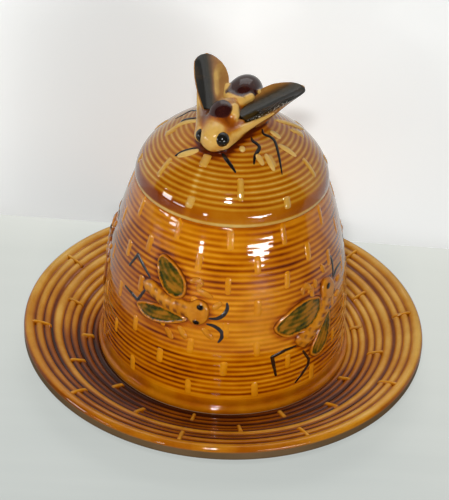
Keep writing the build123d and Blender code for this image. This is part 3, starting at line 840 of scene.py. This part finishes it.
reliefGlaze, greyLine = beeGlaze(), lineEnamel("greyLine", tone(30, 27, 26), tone(68, 62, 60))
brownLine, blackLine = (lineEnamel("brownLine", tone(24, 12, 6), tone(62, 36, 20)),
                        lineEnamel("blackLine", tone(10, 9, 7), tone(40, 35, 28)))
for name, bee in wallBees.items():
    points, faces, fields = makeWallBee(bee)
    label = name[0].upper() + name[1:]
    addPiece("wallBee" + label, points, faces, "pot", [bee["node"]], reliefGlaze, fields)
    shape = beeShapes[bee["shape"]]
    for part, paths in (("Feelers", shape["antennae"]), ("Legs", map(cornered, shape["legs"]))):
        points, faces = joined([
            lineOnWall(bee, path, wallBee["lineWidth"], wallBee["lineRise"]) for path in paths])
        enamel = brownLine if part == "Legs" and bee["shape"] == "turning" else greyLine
        addPiece("bee" + part + label, points, faces, "pot", [], enamel)
print("pot:", len(wallBees), "bees and their painted lines")

# the knob bee, in its own directions: side (+ is its right), ahead, height
knob = {
    "heading": -24.0,
    "voxel": 0.4,
    "melt": 0.75,            # how far the lumps run into each other
    "shrink": 0.45,
    # side, ahead, height, half length, half width, half height, nose down
    "lumps": ((0.0, -6.6, 111.9, 9.3, 7.2, 7.2, 16.0), (0.0, 1.4, 109.6, 5.6, 5.0, 4.4, 10.0),
              (0.4, 9.3, 111.0, 7.2, 5.8, 6.2, 22.0), (0.6, 12.0, 114.2, 3.4, 3.9, 1.8, 42.0),
              (0.0, 14.6, 109.0, 5.6, 6.0, 4.9, 25.0), (-0.55, 18.6, 107.0, 6.0, 5.7, 5.6, 22.0),
              (0.0, 8.0, 106.6, 13.0, 5.8, 3.0, 20.0), (-0.4, 16.6, 102.6, 4.6, 6.0, 1.7, 30.0)),
    # the frilled collar under the abdomen: start, end, radii
    "collar": (((3.9, -0.3, 114.2), (5.2, -2.9, 115.9), 1.7, 1.5),
               ((2.5, 0.8, 114.3), (2.1, 0.9, 114.3), 1.4, 1.5),
               ((0.3, 1.6, 113.9), (-2.3, 1.5, 113.6), 1.6, 1.7),
               ((-2.3, 1.3, 113.8), (-5.0, -1.4, 114.7), 1.6, 1.6),
               ((-6.1, -5.6, 115.1), (-6.2, -6.0, 115.1), 1.2, 1.2),
               ((-3.7, 9.0, 115.3), (-4.7, 11.4, 113.6), 1.5, 1.5),
               ((-4.7, 11.4, 113.6), (-4.3, 13.1, 112.0), 1.5, 0.9)),
    "thorax": (0.0, 8.0, 111.49),
    "cap": (0.7, 12.6, 115.1),
    "wingRoot": (5.0, -0.5, -0.5),
    "wingSweep": 33.0,
    "wingLift": {1: 20.0, -1: 13.0},
    "wingLength": {1: 28.35, -1: 28.1},
    "wingHalf": 6.4,
    "wingCup": 9.0,
    "wingWall": 1.5,
    # share of the length, depth of the keel below the leaf
    "wingKeel": ((0.0, 7.6), (0.2, 7.2), (0.35, 6.2), (0.5, 4.6), (0.7, 2.4), (0.85, 1.2), (1.0, 0.8)),
    # share of the length, outer and inner edge as shares of the half width
    "wingEdges": {
        1: ((0.0, 0.7, -0.5), (0.28, 0.95, -0.9), (0.5, 1.02, -1.0), (0.66, 0.98, -0.92), (0.8, 0.9, -0.74),
            (0.9, 0.68, -0.5), (0.96, 0.44, -0.28), (1.0, 0.08, 0.0)),
        -1: ((0.0, 0.7, -0.5), (0.28, 0.95, -0.9), (0.5, 1.0, -1.02), (0.66, 0.9, -1.0), (0.8, 0.74, -0.86),
             (0.9, 0.56, -0.68), (0.96, 0.38, -0.46), (1.0, 0.02, -0.1)),
    },
    "eyes": ((-4.25, 20.5, 107.95, 2.75), (3.5, 19.8, 106.95, 2.8)),
}
knobTurn = math.radians(knob["heading"])
knobAxes = np.array([[-math.cos(knobTurn), -math.sin(knobTurn), 0],
                     [math.sin(knobTurn), -math.cos(knobTurn), 0], [0, 0, 1]])


def ball(centre, radii, down=0.0, count=40):
    # a closed spheroid: rings of sin t about a nose axis that is tilted down
    t = np.linspace(0, math.pi, count // 2 + 1)[:, None]
    u = wholeTurn(count)
    points, faces = turned(np.sin(t) + 0 * u, -np.cos(t) + 0 * u, u)
    return (points @ noseAxes(radii, down)) + centre, faces


def noseAxes(radii, down):
    # side, crown and nose of a lump, as long as its half width, half height and half length
    tilt = math.radians(down)
    long, wide, high = radii
    return np.array([[wide, 0, 0], [0, high * math.sin(tilt), high * math.cos(tilt)],
                     [0, long * math.cos(tilt), -long * math.sin(tilt)]])


def wingFrame(side):
    # root and the along, sideways and face directions of a wing
    sweep, lift = math.radians(knob["wingSweep"]), math.radians(knob["wingLift"][side])
    level = np.array([side * math.sin(sweep), -math.cos(sweep), 0])
    along = level * math.cos(lift) + np.array([0, 0, math.sin(lift)])
    face = np.array([0, 0, math.cos(lift)]) - level * math.sin(lift)
    root = np.array(knob["thorax"]) + np.array(knob["wingRoot"]) * (side, 1, 1)
    return root, along, np.cross(face, along), face


def shoulders():
    # ridges that run from the head's cheeks and jaw into the wings: start, end, radii
    rows = []
    for side in (1, -1):
        root, along, sideways, face = wingFrame(side)
        rim = root + along * 11.0 + sideways * side * 5.3 - face * (0.5 if side == 1 else 1.1)
        heel = root + along * 2.4 + sideways * side * 2.4 - face * 2.4
        keel = root + along * 10.5 - face * (5.6 if side == 1 else 6.0)
        fold = root + along * 4.0 + sideways * side * 2.6 - face * 3.2
        rows += [((4.8 * side, 18.4, 107.6), rim, 2.4, 0.85), ((5.0 * side, 19.4, 105.4), keel, 1.6, 0.8),
                 ((5.0 * side, 19.0, 106.4), fold, 2.2, 1.4), ((4.4 * side, 13.0, 109.2), heel, 2.6, 1.6)]
        if side == 1:
            rows.append(((4.4, -3.0, 112.8), root + along * 13.0 - sideways * 4.6 - face * 1.2, 2.2, 1.0))
    return rows


bodyRidges = [*knob["collar"], *shoulders()]


def barDistance(points, start, end):
    # how far along the line each point is, from 0 to 1, and its distance from the line
    start, run = np.array(start), np.subtract(end, start)
    t = np.clip((points - start) @ run / (run @ run), 0, 1)
    return t, np.linalg.norm(points - start - t[:, None] * run, axis=1)


def bodyDistance(points):
    # the soft minimum -melt log sum exp(-d / melt) of the distances to every lump and ridge
    total = np.zeros(len(points))
    for row in knob["lumps"]:
        axes = noseAxes(row[3:6], row[6])
        squares = np.sum(axes**2, axis=1)
        local = (points - row[:3]) @ (axes / squares[:, None]).T
        near = np.linalg.norm(local, axis=1) + 1e-6
        steep = np.linalg.norm(local / np.sqrt(squares), axis=1) + 1e-6
        total += np.exp(-np.clip(near * (near - 1) / steep, -6, 12) / knob["melt"])
    for start, end, first, last in bodyRidges:
        t, apart = barDistance(points, start, end)
        total += np.exp(-np.clip(apart - (first + (last - first) * t), -6, 12) / knob["melt"])
    return -knob["melt"] * np.log(total) + knob["shrink"]


def capsule(start, end, first, last):
    # a closed round bar along a line, with a radius at each end
    t = np.linspace(0, math.pi, 15)[:, None]
    u = wholeTurn(16)
    start, end = np.array(start, dtype=float), np.array(end, dtype=float)
    length = np.linalg.norm(end - start)
    way = (end - start) / length
    side = np.cross(way, (0.3, 0.2, 1.0))
    side /= np.linalg.norm(side)
    share = (1 - np.cos(t)) / 2
    size = first + (last - first) * share
    points, faces = turned(size * np.sin(t) + 0 * u, share * (length + first + last) - first + 0 * u, u)
    return points @ np.array([side, np.cross(way, side), way]) + start, faces


def clay(parts, voxel):
    # the parts as one closed skin: a voxel remesh, read back as arrays in millimetres
    points, faces = joined(parts)
    mesh = newMesh("clay", points, faces)
    rough = newObject("clay", mesh)
    remesh = rough.modifiers.new("skin", "REMESH")
    remesh.mode, remesh.voxel_size = "VOXEL", voxel * 0.001
    done = bpy.data.meshes.new_from_object(rough.evaluated_get(bpy.context.evaluated_depsgraph_get()))
    spots = np.empty(len(done.vertices) * 3)
    done.vertices.foreach_get("co", spots)
    edges = np.empty(len(done.edges) * 2, dtype=int)
    done.edges.foreach_get("vertices", edges)
    corners = [list(polygon.vertices) for polygon in done.polygons]
    bpy.data.objects.remove(rough)
    for old in (mesh, done):
        bpy.data.meshes.remove(old)
    return spots.reshape(-1, 3) * 1000, corners, edges.reshape(-1, 2)


def neighbourMean(values, edges):
    values = values.reshape(len(values), -1)
    total = np.zeros_like(values)
    np.add.at(total, edges[:, 0], values[edges[:, 1]])
    np.add.at(total, edges[:, 1], values[edges[:, 0]])
    return total / np.bincount(edges.ravel(), minlength=len(values))[:, None]


def slopeOf(spots, here, step=0.05):
    ahead = [bodyDistance(spots + step * axis) for axis in np.eye(3)]
    return np.stack([far - here for far in ahead], axis=1) / step


def settle(spots, edges, rounds=5):
    # each point slides down the slope of the distance until it lies on the melted skin
    for _ in range(rounds):
        here = bodyDistance(spots)
        slope = slopeOf(spots, here)
        size = np.clip(np.sum(slope**2, axis=1), 0.2, None)
        spots = spots - slope * (np.clip(here, -0.8, 0.8) / size)[:, None]
        spots = 0.6 * spots + 0.4 * neighbourMean(spots, edges)
    here = bodyDistance(spots)
    slope = slopeOf(spots, here)
    normals = slope / np.linalg.norm(slope, axis=1)[:, None]
    return spots - normals * np.clip(here, -0.5, 0.5)[:, None], normals


def creases(spots, normals, edges, rounds=6):
    # how far each point lies below the mean of its neighbours, spread a little: where glaze pools
    deep = np.sum((neighbourMean(spots, edges) - spots) * normals, axis=1)[:, None]
    for _ in range(rounds):
        deep = 0.3 * deep + 0.7 * neighbourMean(deep, edges)
    return deep[:, 0]


def makeLid():
    # rings from the middle of the inside over the flange and the rounded edge to the top of the dome
    azimuth = wholeTurn(lid["around"])
    length = np.linspace(lid["edgeHeight"], lidArc["length"][-1] * 0.995, 210)[:, None]
    radius = np.interp(length, lidArc["length"], lidArc["radius"])
    dip = coilDip(lidCoil(azimuth, radius + 0 * azimuth))
    dip = dip * smoothStep((length - lid["coilStart"] + 0.6) / 2.6)
    fade = smoothStep((radius - 1) / 5)
    dome = lidSurface(azimuth + 0 * dip, radius + 0 * dip, -dip * lid["groove"] * fade)
    inside, pale, flat = np.array(lid["inside"]), lid["paleEdge"], np.ones_like(azimuth)
    r = np.concatenate([inside[:, :1] * flat, np.hypot(dome[..., 0], dome[..., 1]), 0 * flat])
    z = np.concatenate([inside[:, 1:] * flat, dome[..., 2], (lid["seat"] + lid["rise"]) * flat])
    edgeBand = smoothStep((length - 1.3) / 0.8) * smoothStep((7.4 - length) / 2.4)
    # the plain band near the edge, with painted light paler at the front and painted shade darker on the left
    edgeShade = 0.8 - 0.3 * smoothStep((np.cos(azimuth) - 0.6) / 0.4)
    edgeShade = edgeShade + 0.35 * smoothStep((-np.sin(azimuth) - 0.15) / 0.4)
    run = np.exp(-((np.degrees(azimuth) - 335.0 + 0.5 * np.sin(0.7 * radius)) / 1.9) ** 2)
    near = bodyDistance(dome.reshape(-1, 3) @ knobAxes.T).reshape(dip.shape)
    shade = dip * (0.75 + 0.2 * wander(azimuth, radius * 0.3, 14)) - 0.1 + edgeShade * edgeBand
    # round the bee's base: pooled glaze in the crease, and a wider painted shade
    shade = shade + 1.7 * smoothStep((2.6 - near) / 2.8) + 0.35 * smoothStep((7 - near) / 6)
    shade = shade - 0.32 * run * smoothStep((radius - 23) / 2) + 0.1 * wander(azimuth, radius * 0.1, 15)
    shade = np.concatenate([np.full((len(inside) - pale, 1), 0.4) * flat, np.full((pale, 1), -0.3) * flat,
                            shade, 0.3 * flat])
    return (*turned(r, z, azimuth), turnedField(shade))


points, faces, shade = makeLid()
addPiece("lidShell", points, faces, "lid", ["lid_dome"], lidGlaze, {"pool": shade})

lidStitches = {
    "step": 60.0,
    "count": 6,              # in each row
    # azimuth, radius, half length, half width
    "rows": ((-24.5, 34.85, 1.15, 2.0), (6.0, 30.6, 3.3, 1.5), (-25.0, 23.8, 2.5, 2.3)),
    "rise": 0.8,
    "sink": 0.4,
}
centres, halves, widths = [], [], []
for first, radius, half, wide in lidStitches["rows"]:
    centres += [(first + lidStitches["step"] * k, radius) for k in range(lidStitches["count"])]
    halves += [half] * lidStitches["count"]
    widths += [wide] * lidStitches["count"]
points, faces, shade = pads(lidSurface, centres, np.array(widths)[:, None, None], np.array(halves),
                            lidStitches["rise"], lidStitches["sink"],
                            lambda a, s: 0.08 * coilDip(lidCoil(a, s)), seed=3)
addPiece("lidStitches", points, faces, "lid", [], lidGlaze, {"pool": shade * 0.5 - 0.2})
print("lid: shell and", len(centres), "stitches")


parts = [ball(row[:3], row[3:6], row[6]) for row in knob["lumps"]] + [capsule(*row) for row in bodyRidges]
spots, faces, edges = clay(parts, knob["voxel"])
spots, normals = settle(spots, edges)
side, ahead, height = spots.T
deep = creases(spots, normals, edges)


def patch(centre, size, soft=0.15):
    # 1 within an ellipsoid and 0 outside it
    d = np.linalg.norm((spots - centre) / size, axis=1)
    return smoothStep((1 - d) / soft + 0.5)


def lidAt(side, ahead):
    place = np.stack([side, ahead, 0 * side], axis=-1) @ knobAxes
    return lidHeight(np.hypot(place[..., 0], place[..., 1]))


def frillShare():
    # 1 on the collar's bars
    shares = []
    for start, end, first, radius in knob["collar"]:
        apart = barDistance(spots, start, end)[1]
        shares.append(smoothStep((radius + 0.25 - apart) / 0.4))
    return np.max(shares, axis=0)


above = height - lidAt(side, ahead)
domeEdge = 115.1 - 6.5 * smoothStep((-ahead - 2.0) / 6.0) + 0.35 * np.sin(1.7 * side)
dome = smoothStep((height - domeEdge) / 0.7 + 0.5) * smoothStep((1.6 - ahead) / 0.8)
frill = frillShare()
cap = patch(knob["cap"], (4.4, 3.9, 4.0), 0.12)
creased = np.clip(0.36 + deep * 28.0, 0, 0.76)
# darker under the cap: pooled glaze and painted shade
underCapShade = 0.76 * patch((-1.8, 14.9, 112.2), (6.6, 3.2, 3.6), 0.9)
paleSpots = [1.2 * frill, 0.8 * patch((-5.0, 10.0, 114.5), (2.2, 5.0, 4.0), 0.8),
             0.45 * patch((-0.5, 18.5, 111.5), (4.0, 3.6, 4.0), 0.9),
             0.3 * patch((0, 22.5, 107.0), (6.5, 5.0, 4.0), 0.9)]
plumSpots = [patch((5.8, 10.2, 112.6), (4.2, 7.5, 4.6), 0.9),
             0.8 * patch((-5.5, -5.0, 112.0), (4.0, 6.0, 4.5), 0.8)]
bodyFields = {
    "pool": np.clip(np.maximum(creased, underCapShade) + 0.95 * smoothStep((2.7 - above) / 2.0), 0, 1.2),
    "brown": np.clip(np.maximum(dome * (1 - frill), cap), 0, 1),
    "pale": np.clip(np.max(paleSpots, axis=0) * (1 - cap), 0, 1),
    "plum": np.clip(np.max(plumSpots, axis=0) * (1 - frill), 0, 1),
}


def bodyGlaze():
    # cream to amber glaze with brown caps that turn plum at their edges, dark where it pools and with painted
    # shade under the cap
    paint = Paint("bodyGlaze")
    brown = paint.field("brown")
    cloud, fine = paint.noise(230.0, 3.0), paint.noise(620.0, 2.0)
    depth = paint.field("pool") + (cloud - 0.5) * 0.75 - paint.field("pale") * 0.42
    colour = paint.ramp(depth.held(), (
        (0.0, 228, 180, 92), (0.25, 200, 130, 34), (0.5, 172, 92, 8), (0.75, 142, 68, 6), (1.0, 70, 16, 4)))
    colour = paint.mix((paint.field("plum") * 0.85).held(), colour, tone(92, 50, 38))
    colour = paint.mix((brown * (1 - brown) * 3.0).held(), colour, tone(92, 44, 30))
    capTone = paint.mix(cloud.held(), tone(30, 6, 6), tone(66, 26, 20))
    colour = paint.mix((brown + (fine - 0.5) * 0.15).held(), colour, capTone)
    return paint.finish(colour, 0.14 + (fine - 0.5) * 0.04, None, 0.95, 0.03, 0.1)


def wingGlaze():
    # black to dark olive in the trough, brown towards the inner rim, amber on the rims and below, with
    # rough bumps and painted white glints along the outer rim
    paint = Paint("wingGlaze")
    dark, roughRimAndPaintedGlints, cloud = paint.field("dark"), paint.field("roughRimAndPaintedGlints"), paint.noise(170.0, 3.0)
    amber = paint.ramp((paint.field("pool") + (cloud - 0.5) * 0.7).held(), (
        (0.0, 230, 186, 108), (0.3, 204, 144, 58), (0.6, 166, 98, 24), (1.0, 92, 38, 8)))
    inside = paint.ramp((paint.field("tan") + (cloud - 0.5) * 0.35).held(), (
        (0.0, 10, 9, 6), (0.3, 40, 34, 14), (0.55, 100, 66, 30), (0.8, 160, 108, 50), (1.0, 214, 170, 84)))
    colour = paint.mix((dark + (cloud - 0.5) * 0.25).held(), amber, inside)
    paintedGlints = ((paint.noise(1150.0, 2.0) - 0.56) * 14.0).held() * roughRimAndPaintedGlints
    colour = paint.mix(paintedGlints, colour, tone(226, 220, 206))
    height = paint.noise(900.0, 2.0) * 0.2 + paint.noise(1300.0, 2.0) * roughRimAndPaintedGlints * 3.0
    return paint.finish(colour, 0.1 - roughRimAndPaintedGlints * 0.03, paint.bump(height, 0.4, 0.0004), 0.05, shine=0.24)


addPiece("knobBeeBody", spots @ knobAxes, faces, "lid", ["bee_body"], bodyGlaze(),
         bodyFields)


def makeWing(side):
    # a leaf with a round trough: each section runs from the outer rim over the trough to the inner
    # rim and back under it, where the keel is deepest in the middle
    count, ring = 84, 64
    x = np.sin(np.linspace(0, math.pi / 2, count)) * 0.94 + np.linspace(0, 1, count) * 0.06
    table = np.array(knob["wingEdges"][side])
    outer, inner = np.interp(x, table[:, 0], table[:, 1]), np.interp(x, table[:, 0], table[:, 2])
    kernel = np.hanning(11)[1:-1] / np.hanning(11).sum()
    outer, inner = (np.convolve(np.pad(edge, 4, "reflect", reflect_type="odd"), kernel, "valid")
                    for edge in (outer, inner))
    half = knob["wingHalf"]
    middle, reach = (outer + inner) / 2 * half, np.maximum((outer - inner) / 2 * half, 0.15)
    t = np.linspace(0, 2 * math.pi, ring, endpoint=False)
    across = middle[:, None] + reach[:, None] * np.cos(t)
    trough = knob["wingCup"] - np.sqrt(np.clip(knob["wingCup"] ** 2 - across**2, 1, None))
    roundEnd = np.sqrt(np.clip((1.015 - x) / 0.06, 0.05, 1))[:, None]
    keel = np.interp(x, *np.array(knob["wingKeel"]).T)[:, None]
    above = knob["wingWall"] / 2 * np.abs(np.sin(t)) ** 0.5
    below = knob["wingWall"] / 2 * np.abs(np.sin(t)) ** 0.5 + keel * (1 - np.abs(np.cos(t)) ** 1.15)
    high = trough - knob["wingWall"] / 2 + np.where(np.sin(t) > 0, above, -below) * roundEnd
    root, along, sideways, face = wingFrame(side)
    rows = (root + x[:, None, None] * knob["wingLength"][side] * along
            + across[..., None] * side * sideways + high[..., None] * face)
    points = np.concatenate([rows.reshape(-1, 3), [rows[0].mean(axis=0)], [rows[-1].mean(axis=0)]])
    faces = gridQuads(count, ring, wrap=True)
    faces += fan(np.arange(ring), count * ring, flip=True)
    faces += fan(np.arange(ring) + (count - 1) * ring, count * ring + 1)
    if side == 1:
        faces = [face[::-1] for face in faces]
    share = np.stack([np.repeat(x, ring), (across / half).ravel(), np.tile(t, count)], axis=-1)
    return points, faces, share


def wingFields(side, x, across, t):
    # x runs from the root to the tip, across from the inner to the outer rim, t round each section
    top = smoothStep(np.sin(t) / 0.3)
    tip = smoothStep((0.99 - x) / 0.02)
    if side == 1:
        rim = smoothStep((0.985 - np.abs(np.cos(t))) / 0.05)
        streak = np.exp(-((across + 0.12 + 0.25 * x) / 0.15) ** 2)
        streak = streak * smoothStep((x - 0.12) / 0.2) * smoothStep((0.8 - x) / 0.3)
        dark = top * np.where(across > 0, rim, 1.0) * tip
        tan = 0.8 * smoothStep((0.5 - across) / 1.05) + 0.45 * streak
        roughRimAndPaintedGlints = 0.0 * x
    else:
        dark = smoothStep((np.sin(t) + 0.6 * (across > 0.3)) / 0.3) * tip
        tan = 0.3 * smoothStep((0.35 - across) / 0.8) + 0.5 * smoothStep((-0.4 - across) / 0.5)
        roughRimAndPaintedGlints = np.exp(-((np.sin(t) + 0.3) / 0.32) ** 2) * smoothStep((across - 0.1) / 0.2)
        roughRimAndPaintedGlints = roughRimAndPaintedGlints * smoothStep((x - 0.06) / 0.06) * smoothStep((0.95 - x) / 0.3)
    return {"dark": dark, "tan": np.clip(0.03 + tan, 0, 1), "roughRimAndPaintedGlints": roughRimAndPaintedGlints,
            "pool": np.clip(0.34 + 0.34 * (1 - top) * (1 - x), 0, 1)}


shellGlaze = wingGlaze()
for name, side in (("Right", 1), ("Left", -1)):
    points, faces, share = makeWing(side)
    fields = {key: np.concatenate([value, value[:1], value[-1:]])
              for key, value in wingFields(side, *share.T).items()}
    addPiece("knobWing" + name, points @ knobAxes, faces, "lid", ["bee_wing_" + name.lower()],
             shellGlaze, fields)

points, faces = joined([ball(row[:3], (row[3], row[3], row[3]), 0.0, 48) for row in knob["eyes"]])
addPiece("knobEyes", points @ knobAxes, faces, "lid", ["bee_eyes"], blackLine)

lidLegs = {
    "bars": (((10.6, 8.1), (17.4, 8.4), (22.6, 12.7)), ((4.4, 20.9), (8.0, 22.4), (11.8, 23.5)),
             ((-12.5, -7.5), (-15.3, -11.4), (-18.3, -16.4), (-19.5, -19.9)),
             ((-18.6, -8.4), (-21.6, -13.4)), ((-14.4, 0.9), (-18.8, 0.4)),
             ((-19.3, 4.2), (-22.5, 3.0), (-26.0, 2.0)),
             ((-17.5, 11.4), (-20.0, 12.8), (-22.8, 14.4)), ((-15.0, 13.8), (-16.8, 14.5), (-18.9, 15.6)),
             ((-9.0, 14.5), (-9.9, 15.0), (-11.0, 15.6))),
    "lines": (((14.1, 1.3), (19.0, -1.4), (21.1, 1.1), (23.6, 2.6)),
              ((11.5, 6.3), (17.9, 5.9), (18.6, 8.2), (20.5, 11.2)),
              ((5.7, 20.1), (10.3, 21.9), (12.9, 23.4)), ((-4.2, 19.7), (-6.5, 20.9), (-11.8, 23.4)),
              ((-10.6, 9.0), (-11.8, 10.0), (-14.7, 10.6), (-15.0, 14.7), (-16.0, 17.6)),
              ((-12.0, 2.6), (-13.4, 4.4), (-15.7, 3.6), (-17.6, 3.8), (-20.3, 6.6), (-25.5, 13.3))),
    "barWidth": 1.15,
    "barRise": 0.65,
    "lineWidth": 0.68,
    "lineRise": 0.2,
}


def lineOnLid(path, halfWidth, rise):
    # a bead over the dome along a path in the bee's side and ahead directions
    way, run = wayAlong(path, 12 * len(path))

    def polar(side, ahead):
        x = side * knobAxes[0, 0] + ahead * knobAxes[1, 0]
        y = side * knobAxes[0, 1] + ahead * knobAxes[1, 1]
        return np.arctan2(x, -y), np.hypot(x, y)

    azimuth, radius = polar(way[:, 0], way[:, 1])
    azimuth = np.unwrap(azimuth)
    a, r = polar(way[:, 0] - run[:, 1] * 0.1, way[:, 1] + run[:, 0] * 0.1)
    turn = (a - azimuth + math.pi) % (2 * math.pi) - math.pi
    dips = 0.9 * lid["groove"] if rise < 0.3 else 0.0            # thin paint follows the coils
    return stroke(lidSurface, azimuth, radius, (turn * 10, (r - radius) * 10), halfWidth, rise,
                  lambda a, s: dips * coilDip(lidCoil(a, s)) - 0.02)


points, faces = joined([
    lineOnLid(path, lidLegs["barWidth"], lidLegs["barRise"]) for path in lidLegs["bars"]])
addPiece("lidLegBars", points, faces, "lid", ["bee_legs"], lidGlaze,
         {"pool": np.full(len(points), -0.3)})
points, faces = joined([
    lineOnLid(path, lidLegs["lineWidth"], lidLegs["lineRise"]) for path in lidLegs["lines"]])
addPiece("lidLegLines", points, faces, "lid", [], blackLine)
print("lid: the knob bee and its legs")

# the table is pale to the camera and darker to other rays; the wall shows only from its front
room = {
    "table": tone(201, 206, 202),
    "tableWorn": tone(188, 194, 191),
    "tableBase": tone(106, 109, 107),        # what it takes from the lamps; the rest is its own glow
    "tableWornBase": tone(99, 102, 100),
    "tableBounce": tone(112, 111, 106),
    "wall": tone(243, 243, 238),
    "wallBase": tone(236, 239, 240),
    "wallShaded": tone(172, 173, 168),
    "wallFootShade": tone(205, 205, 198),
    "tableLitNearWall": tone(231, 233, 226),
    "tableLitSides": tone(227, 229, 221),
    "tableReach": 4.0,
    "wallDistance": 0.082,
    "wallTurn": 0.036,       # how much nearer it comes for each metre to the right
    "wallReach": 1.2,
    "wallHeight": 1.0,
    "wallGlow": 0.41,
    "tableGlow": 0.8,
    "world": 0.125,
    "worldGloss": 0.035,
}


def addPlane(name, corners, material):
    mesh = bpy.data.meshes.new(name)
    mesh.from_pydata(corners, [], [(0, 1, 2, 3)])
    mesh.materials.append(material)
    newObject(name, mesh)


def tablePaint():
    paint = Paint("tablePaint")
    brush = paint.noise(26.0, 5.0, (0.25, 3.0, 1.0))
    x, y = paint.axis("X"), paint.axis("Y")
    pale = paint.mix(brush, room["tableWorn"], room["table"])
    # painted light: the table paler towards its sides and the wall, and darker in front of the pot
    atSides = (x * x * 170.0 - 0.2).held()
    pale = paint.mix((y * 5.0 + x * 1.2 + 0.5).held() * atSides * 0.85 + 0.12, pale, room["tableLitSides"])
    pale = paint.mix(((y - 0.06) * 40.0).held() * 0.75, pale, room["tableLitNearWall"])
    own = paint.mix(brush, room["tableWornBase"], room["tableBase"])
    mirrored = (y * 25.0 + 1.5).held() * paint.ray("Is Glossy Ray") * 0.55
    seen = paint.ray("Is Camera Ray")
    paint.finish(paint.mix(seen, room["tableBounce"], own), 0.55, None, 0.0)
    paint.glow(paint.mix((seen + mirrored).held(), (0, 0, 0, 1), pale), room["tableGlow"])
    return paint.material


def wallPaint():
    paint = Paint("wallPaint")
    x, z = paint.axis("X"), paint.axis("Z")
    paint.finish(paint.mix(paint.noise(9.0, 2.0) * 0.1, room["wallBase"], room["wall"]), 0.8, None, 0.0)
    # painted shadow of the pot on the left of the wall, and painted shade at the top right and the bottom
    # left
    shaded = (0.66 - (x + 0.05) * (x + 0.05) * 240.0).held()
    shaded = shaded + ((z - 0.02) * 22.0).held() * (x * 30.0).held() * 0.3
    shaded = shaded + ((0.045 - z) * 30.0).held() * (x * -14.0 - 0.6).held() * 0.3
    colour = paint.mix(shaded, room["wall"], room["wallShaded"])
    # painted shade, darker along the foot of the wall
    colour = paint.mix((1 - z * 130.0).held() * 0.5, colour, room["wallFootShade"])
    shader = paint.glow(colour, room["wallGlow"])
    behind = paint.node("ShaderNodeNewGeometry", {}, {}, "Backfacing")
    share = (paint.ray("Is Camera Ray") + paint.ray("Is Glossy Ray") * 0.55).held() * (1 - behind)
    clear = paint.node("ShaderNodeBsdfTransparent")
    both = paint.node("ShaderNodeMixShader", {}, {0: share, 1: clear, 2: Link(paint, shader.outputs[0])})
    out = [item for item in paint.tree.nodes if item.type == "OUTPUT_MATERIAL"][0]
    paint.tree.links.new(both.socket, out.inputs["Surface"])
    return paint.material


near, far, wide = -room["tableReach"], room["tableReach"], room["wallReach"]
addPlane("table", [(near, near, 0), (far, near, 0), (far, far, 0), (near, far, 0)], tablePaint())
left, right = (room["wallDistance"] - x * room["wallTurn"] for x in (-wide, wide))
addPlane("wall", [(-wide, left, 0), (wide, right, 0), (wide, right, room["wallHeight"]),
                  (-wide, left, room["wallHeight"])], wallPaint())

world = bpy.data.worlds.new("studio")
bpy.context.scene.world = world
world.use_nodes = True
tree = world.node_tree
background = tree.nodes["Background"]
background.inputs["Color"].default_value = (0.97, 0.98, 1.0, 1.0)
path = tree.nodes.new("ShaderNodeLightPath")
level = tree.nodes.new("ShaderNodeMapRange")       # an open dark room in the reflections
level.inputs["To Min"].default_value = room["world"]
level.inputs["To Max"].default_value = room["worldGloss"]
tree.links.new(path.outputs["Is Glossy Ray"], level.inputs["Value"])
tree.links.new(level.outputs[0], background.inputs["Strength"])

# azimuth from the front towards +X, elevation, distance, width, height, radiance
lamps = {
    "skyBehind": (175.0, 56.0, 1.25, 1.0, 0.7, 2.3),
    "windowTop": (32.0, 2.6, 0.62, 0.28, 0.016, 26.0),
    "windowMiddle": (32.0, 0.9, 0.62, 0.17, 0.022, 26.0),
    "windowLow": (32.0, -1.0, 0.62, 0.06, 0.022, 26.0),
    "windowNarrow": (-26.0, 1.0, 0.62, 0.04, 0.05, 28.0),
    "windowLeft": (-75.0, 6.5, 1.2, 0.26, 0.2, 14.0),
    "windowLeftLow": (-58.0, 3.0, 1.2, 0.3, 0.06, 13.0),
    "flash": (-3.0, 40.0, 0.62, 0.06, 0.03, 311.0),
}
lampAim = (0, 0, 0.06)       # what they face, in metres


def placed(item, side, up, back, place):
    # turns an object so that it looks against the direction called back
    columns = np.column_stack([side, up, back, place])
    item.matrix_world = Matrix(np.vstack([columns, [0, 0, 0, 1]]).tolist())


def addLamp(name, azimuth, elevation, distance, width, height, radiance):
    # a rectangle of even radiance that faces the pot; its power is pi * area * radiance
    a, e = math.radians(azimuth), math.radians(elevation)
    back = np.array([math.sin(a) * math.cos(e), -math.cos(a) * math.cos(e), math.sin(e)])
    side = np.cross((0, 0, 1), back)
    side /= np.linalg.norm(side)
    lamp = bpy.data.lights.new(name, "AREA")
    lamp.shape, lamp.size, lamp.size_y = "RECTANGLE", width, height
    lamp.energy = math.pi * width * height * radiance
    placed(newObject(name, lamp), side, np.cross(back, side), back, back * distance + lampAim)


for name, values in lamps.items():
    addLamp(name, *values)

camera = {
    "focal": 3.0,            # in heights of the frame
    "sensor": 36.0,
    "down": 0.60131,
    "roll": 0.05691,
    "distance": 0.60908,
    "right": -0.00131,
    "up": 0.03401,
    "aim": (0, 0, 0.005),    # the middle of the pot's foot, from which the distance is counted
}


def addCamera():
    # it looks along (0, cos, -sin) of the downward angle, turned by the roll about that line
    e, r = camera["down"], camera["roll"]
    ahead = np.array([0, math.cos(e), -math.sin(e)])
    right, up = np.array([1.0, 0, 0]), np.array([0, math.sin(e), math.cos(e)])
    place = camera["right"] * right + camera["up"] * up - camera["distance"] * ahead + camera["aim"]
    data = bpy.data.cameras.new("camera")
    data.sensor_width = camera["sensor"]
    data.lens = camera["focal"] * camera["sensor"]
    data.clip_start = 0.01
    holder = newObject("camera", data)
    placed(holder, math.cos(r) * right + math.sin(r) * up, math.cos(r) * up - math.sin(r) * right,
           -ahead, place)
    bpy.context.scene.camera = holder


addCamera()
bpy.context.scene.view_settings.view_transform = "Standard"
print("room, lamps and camera set")
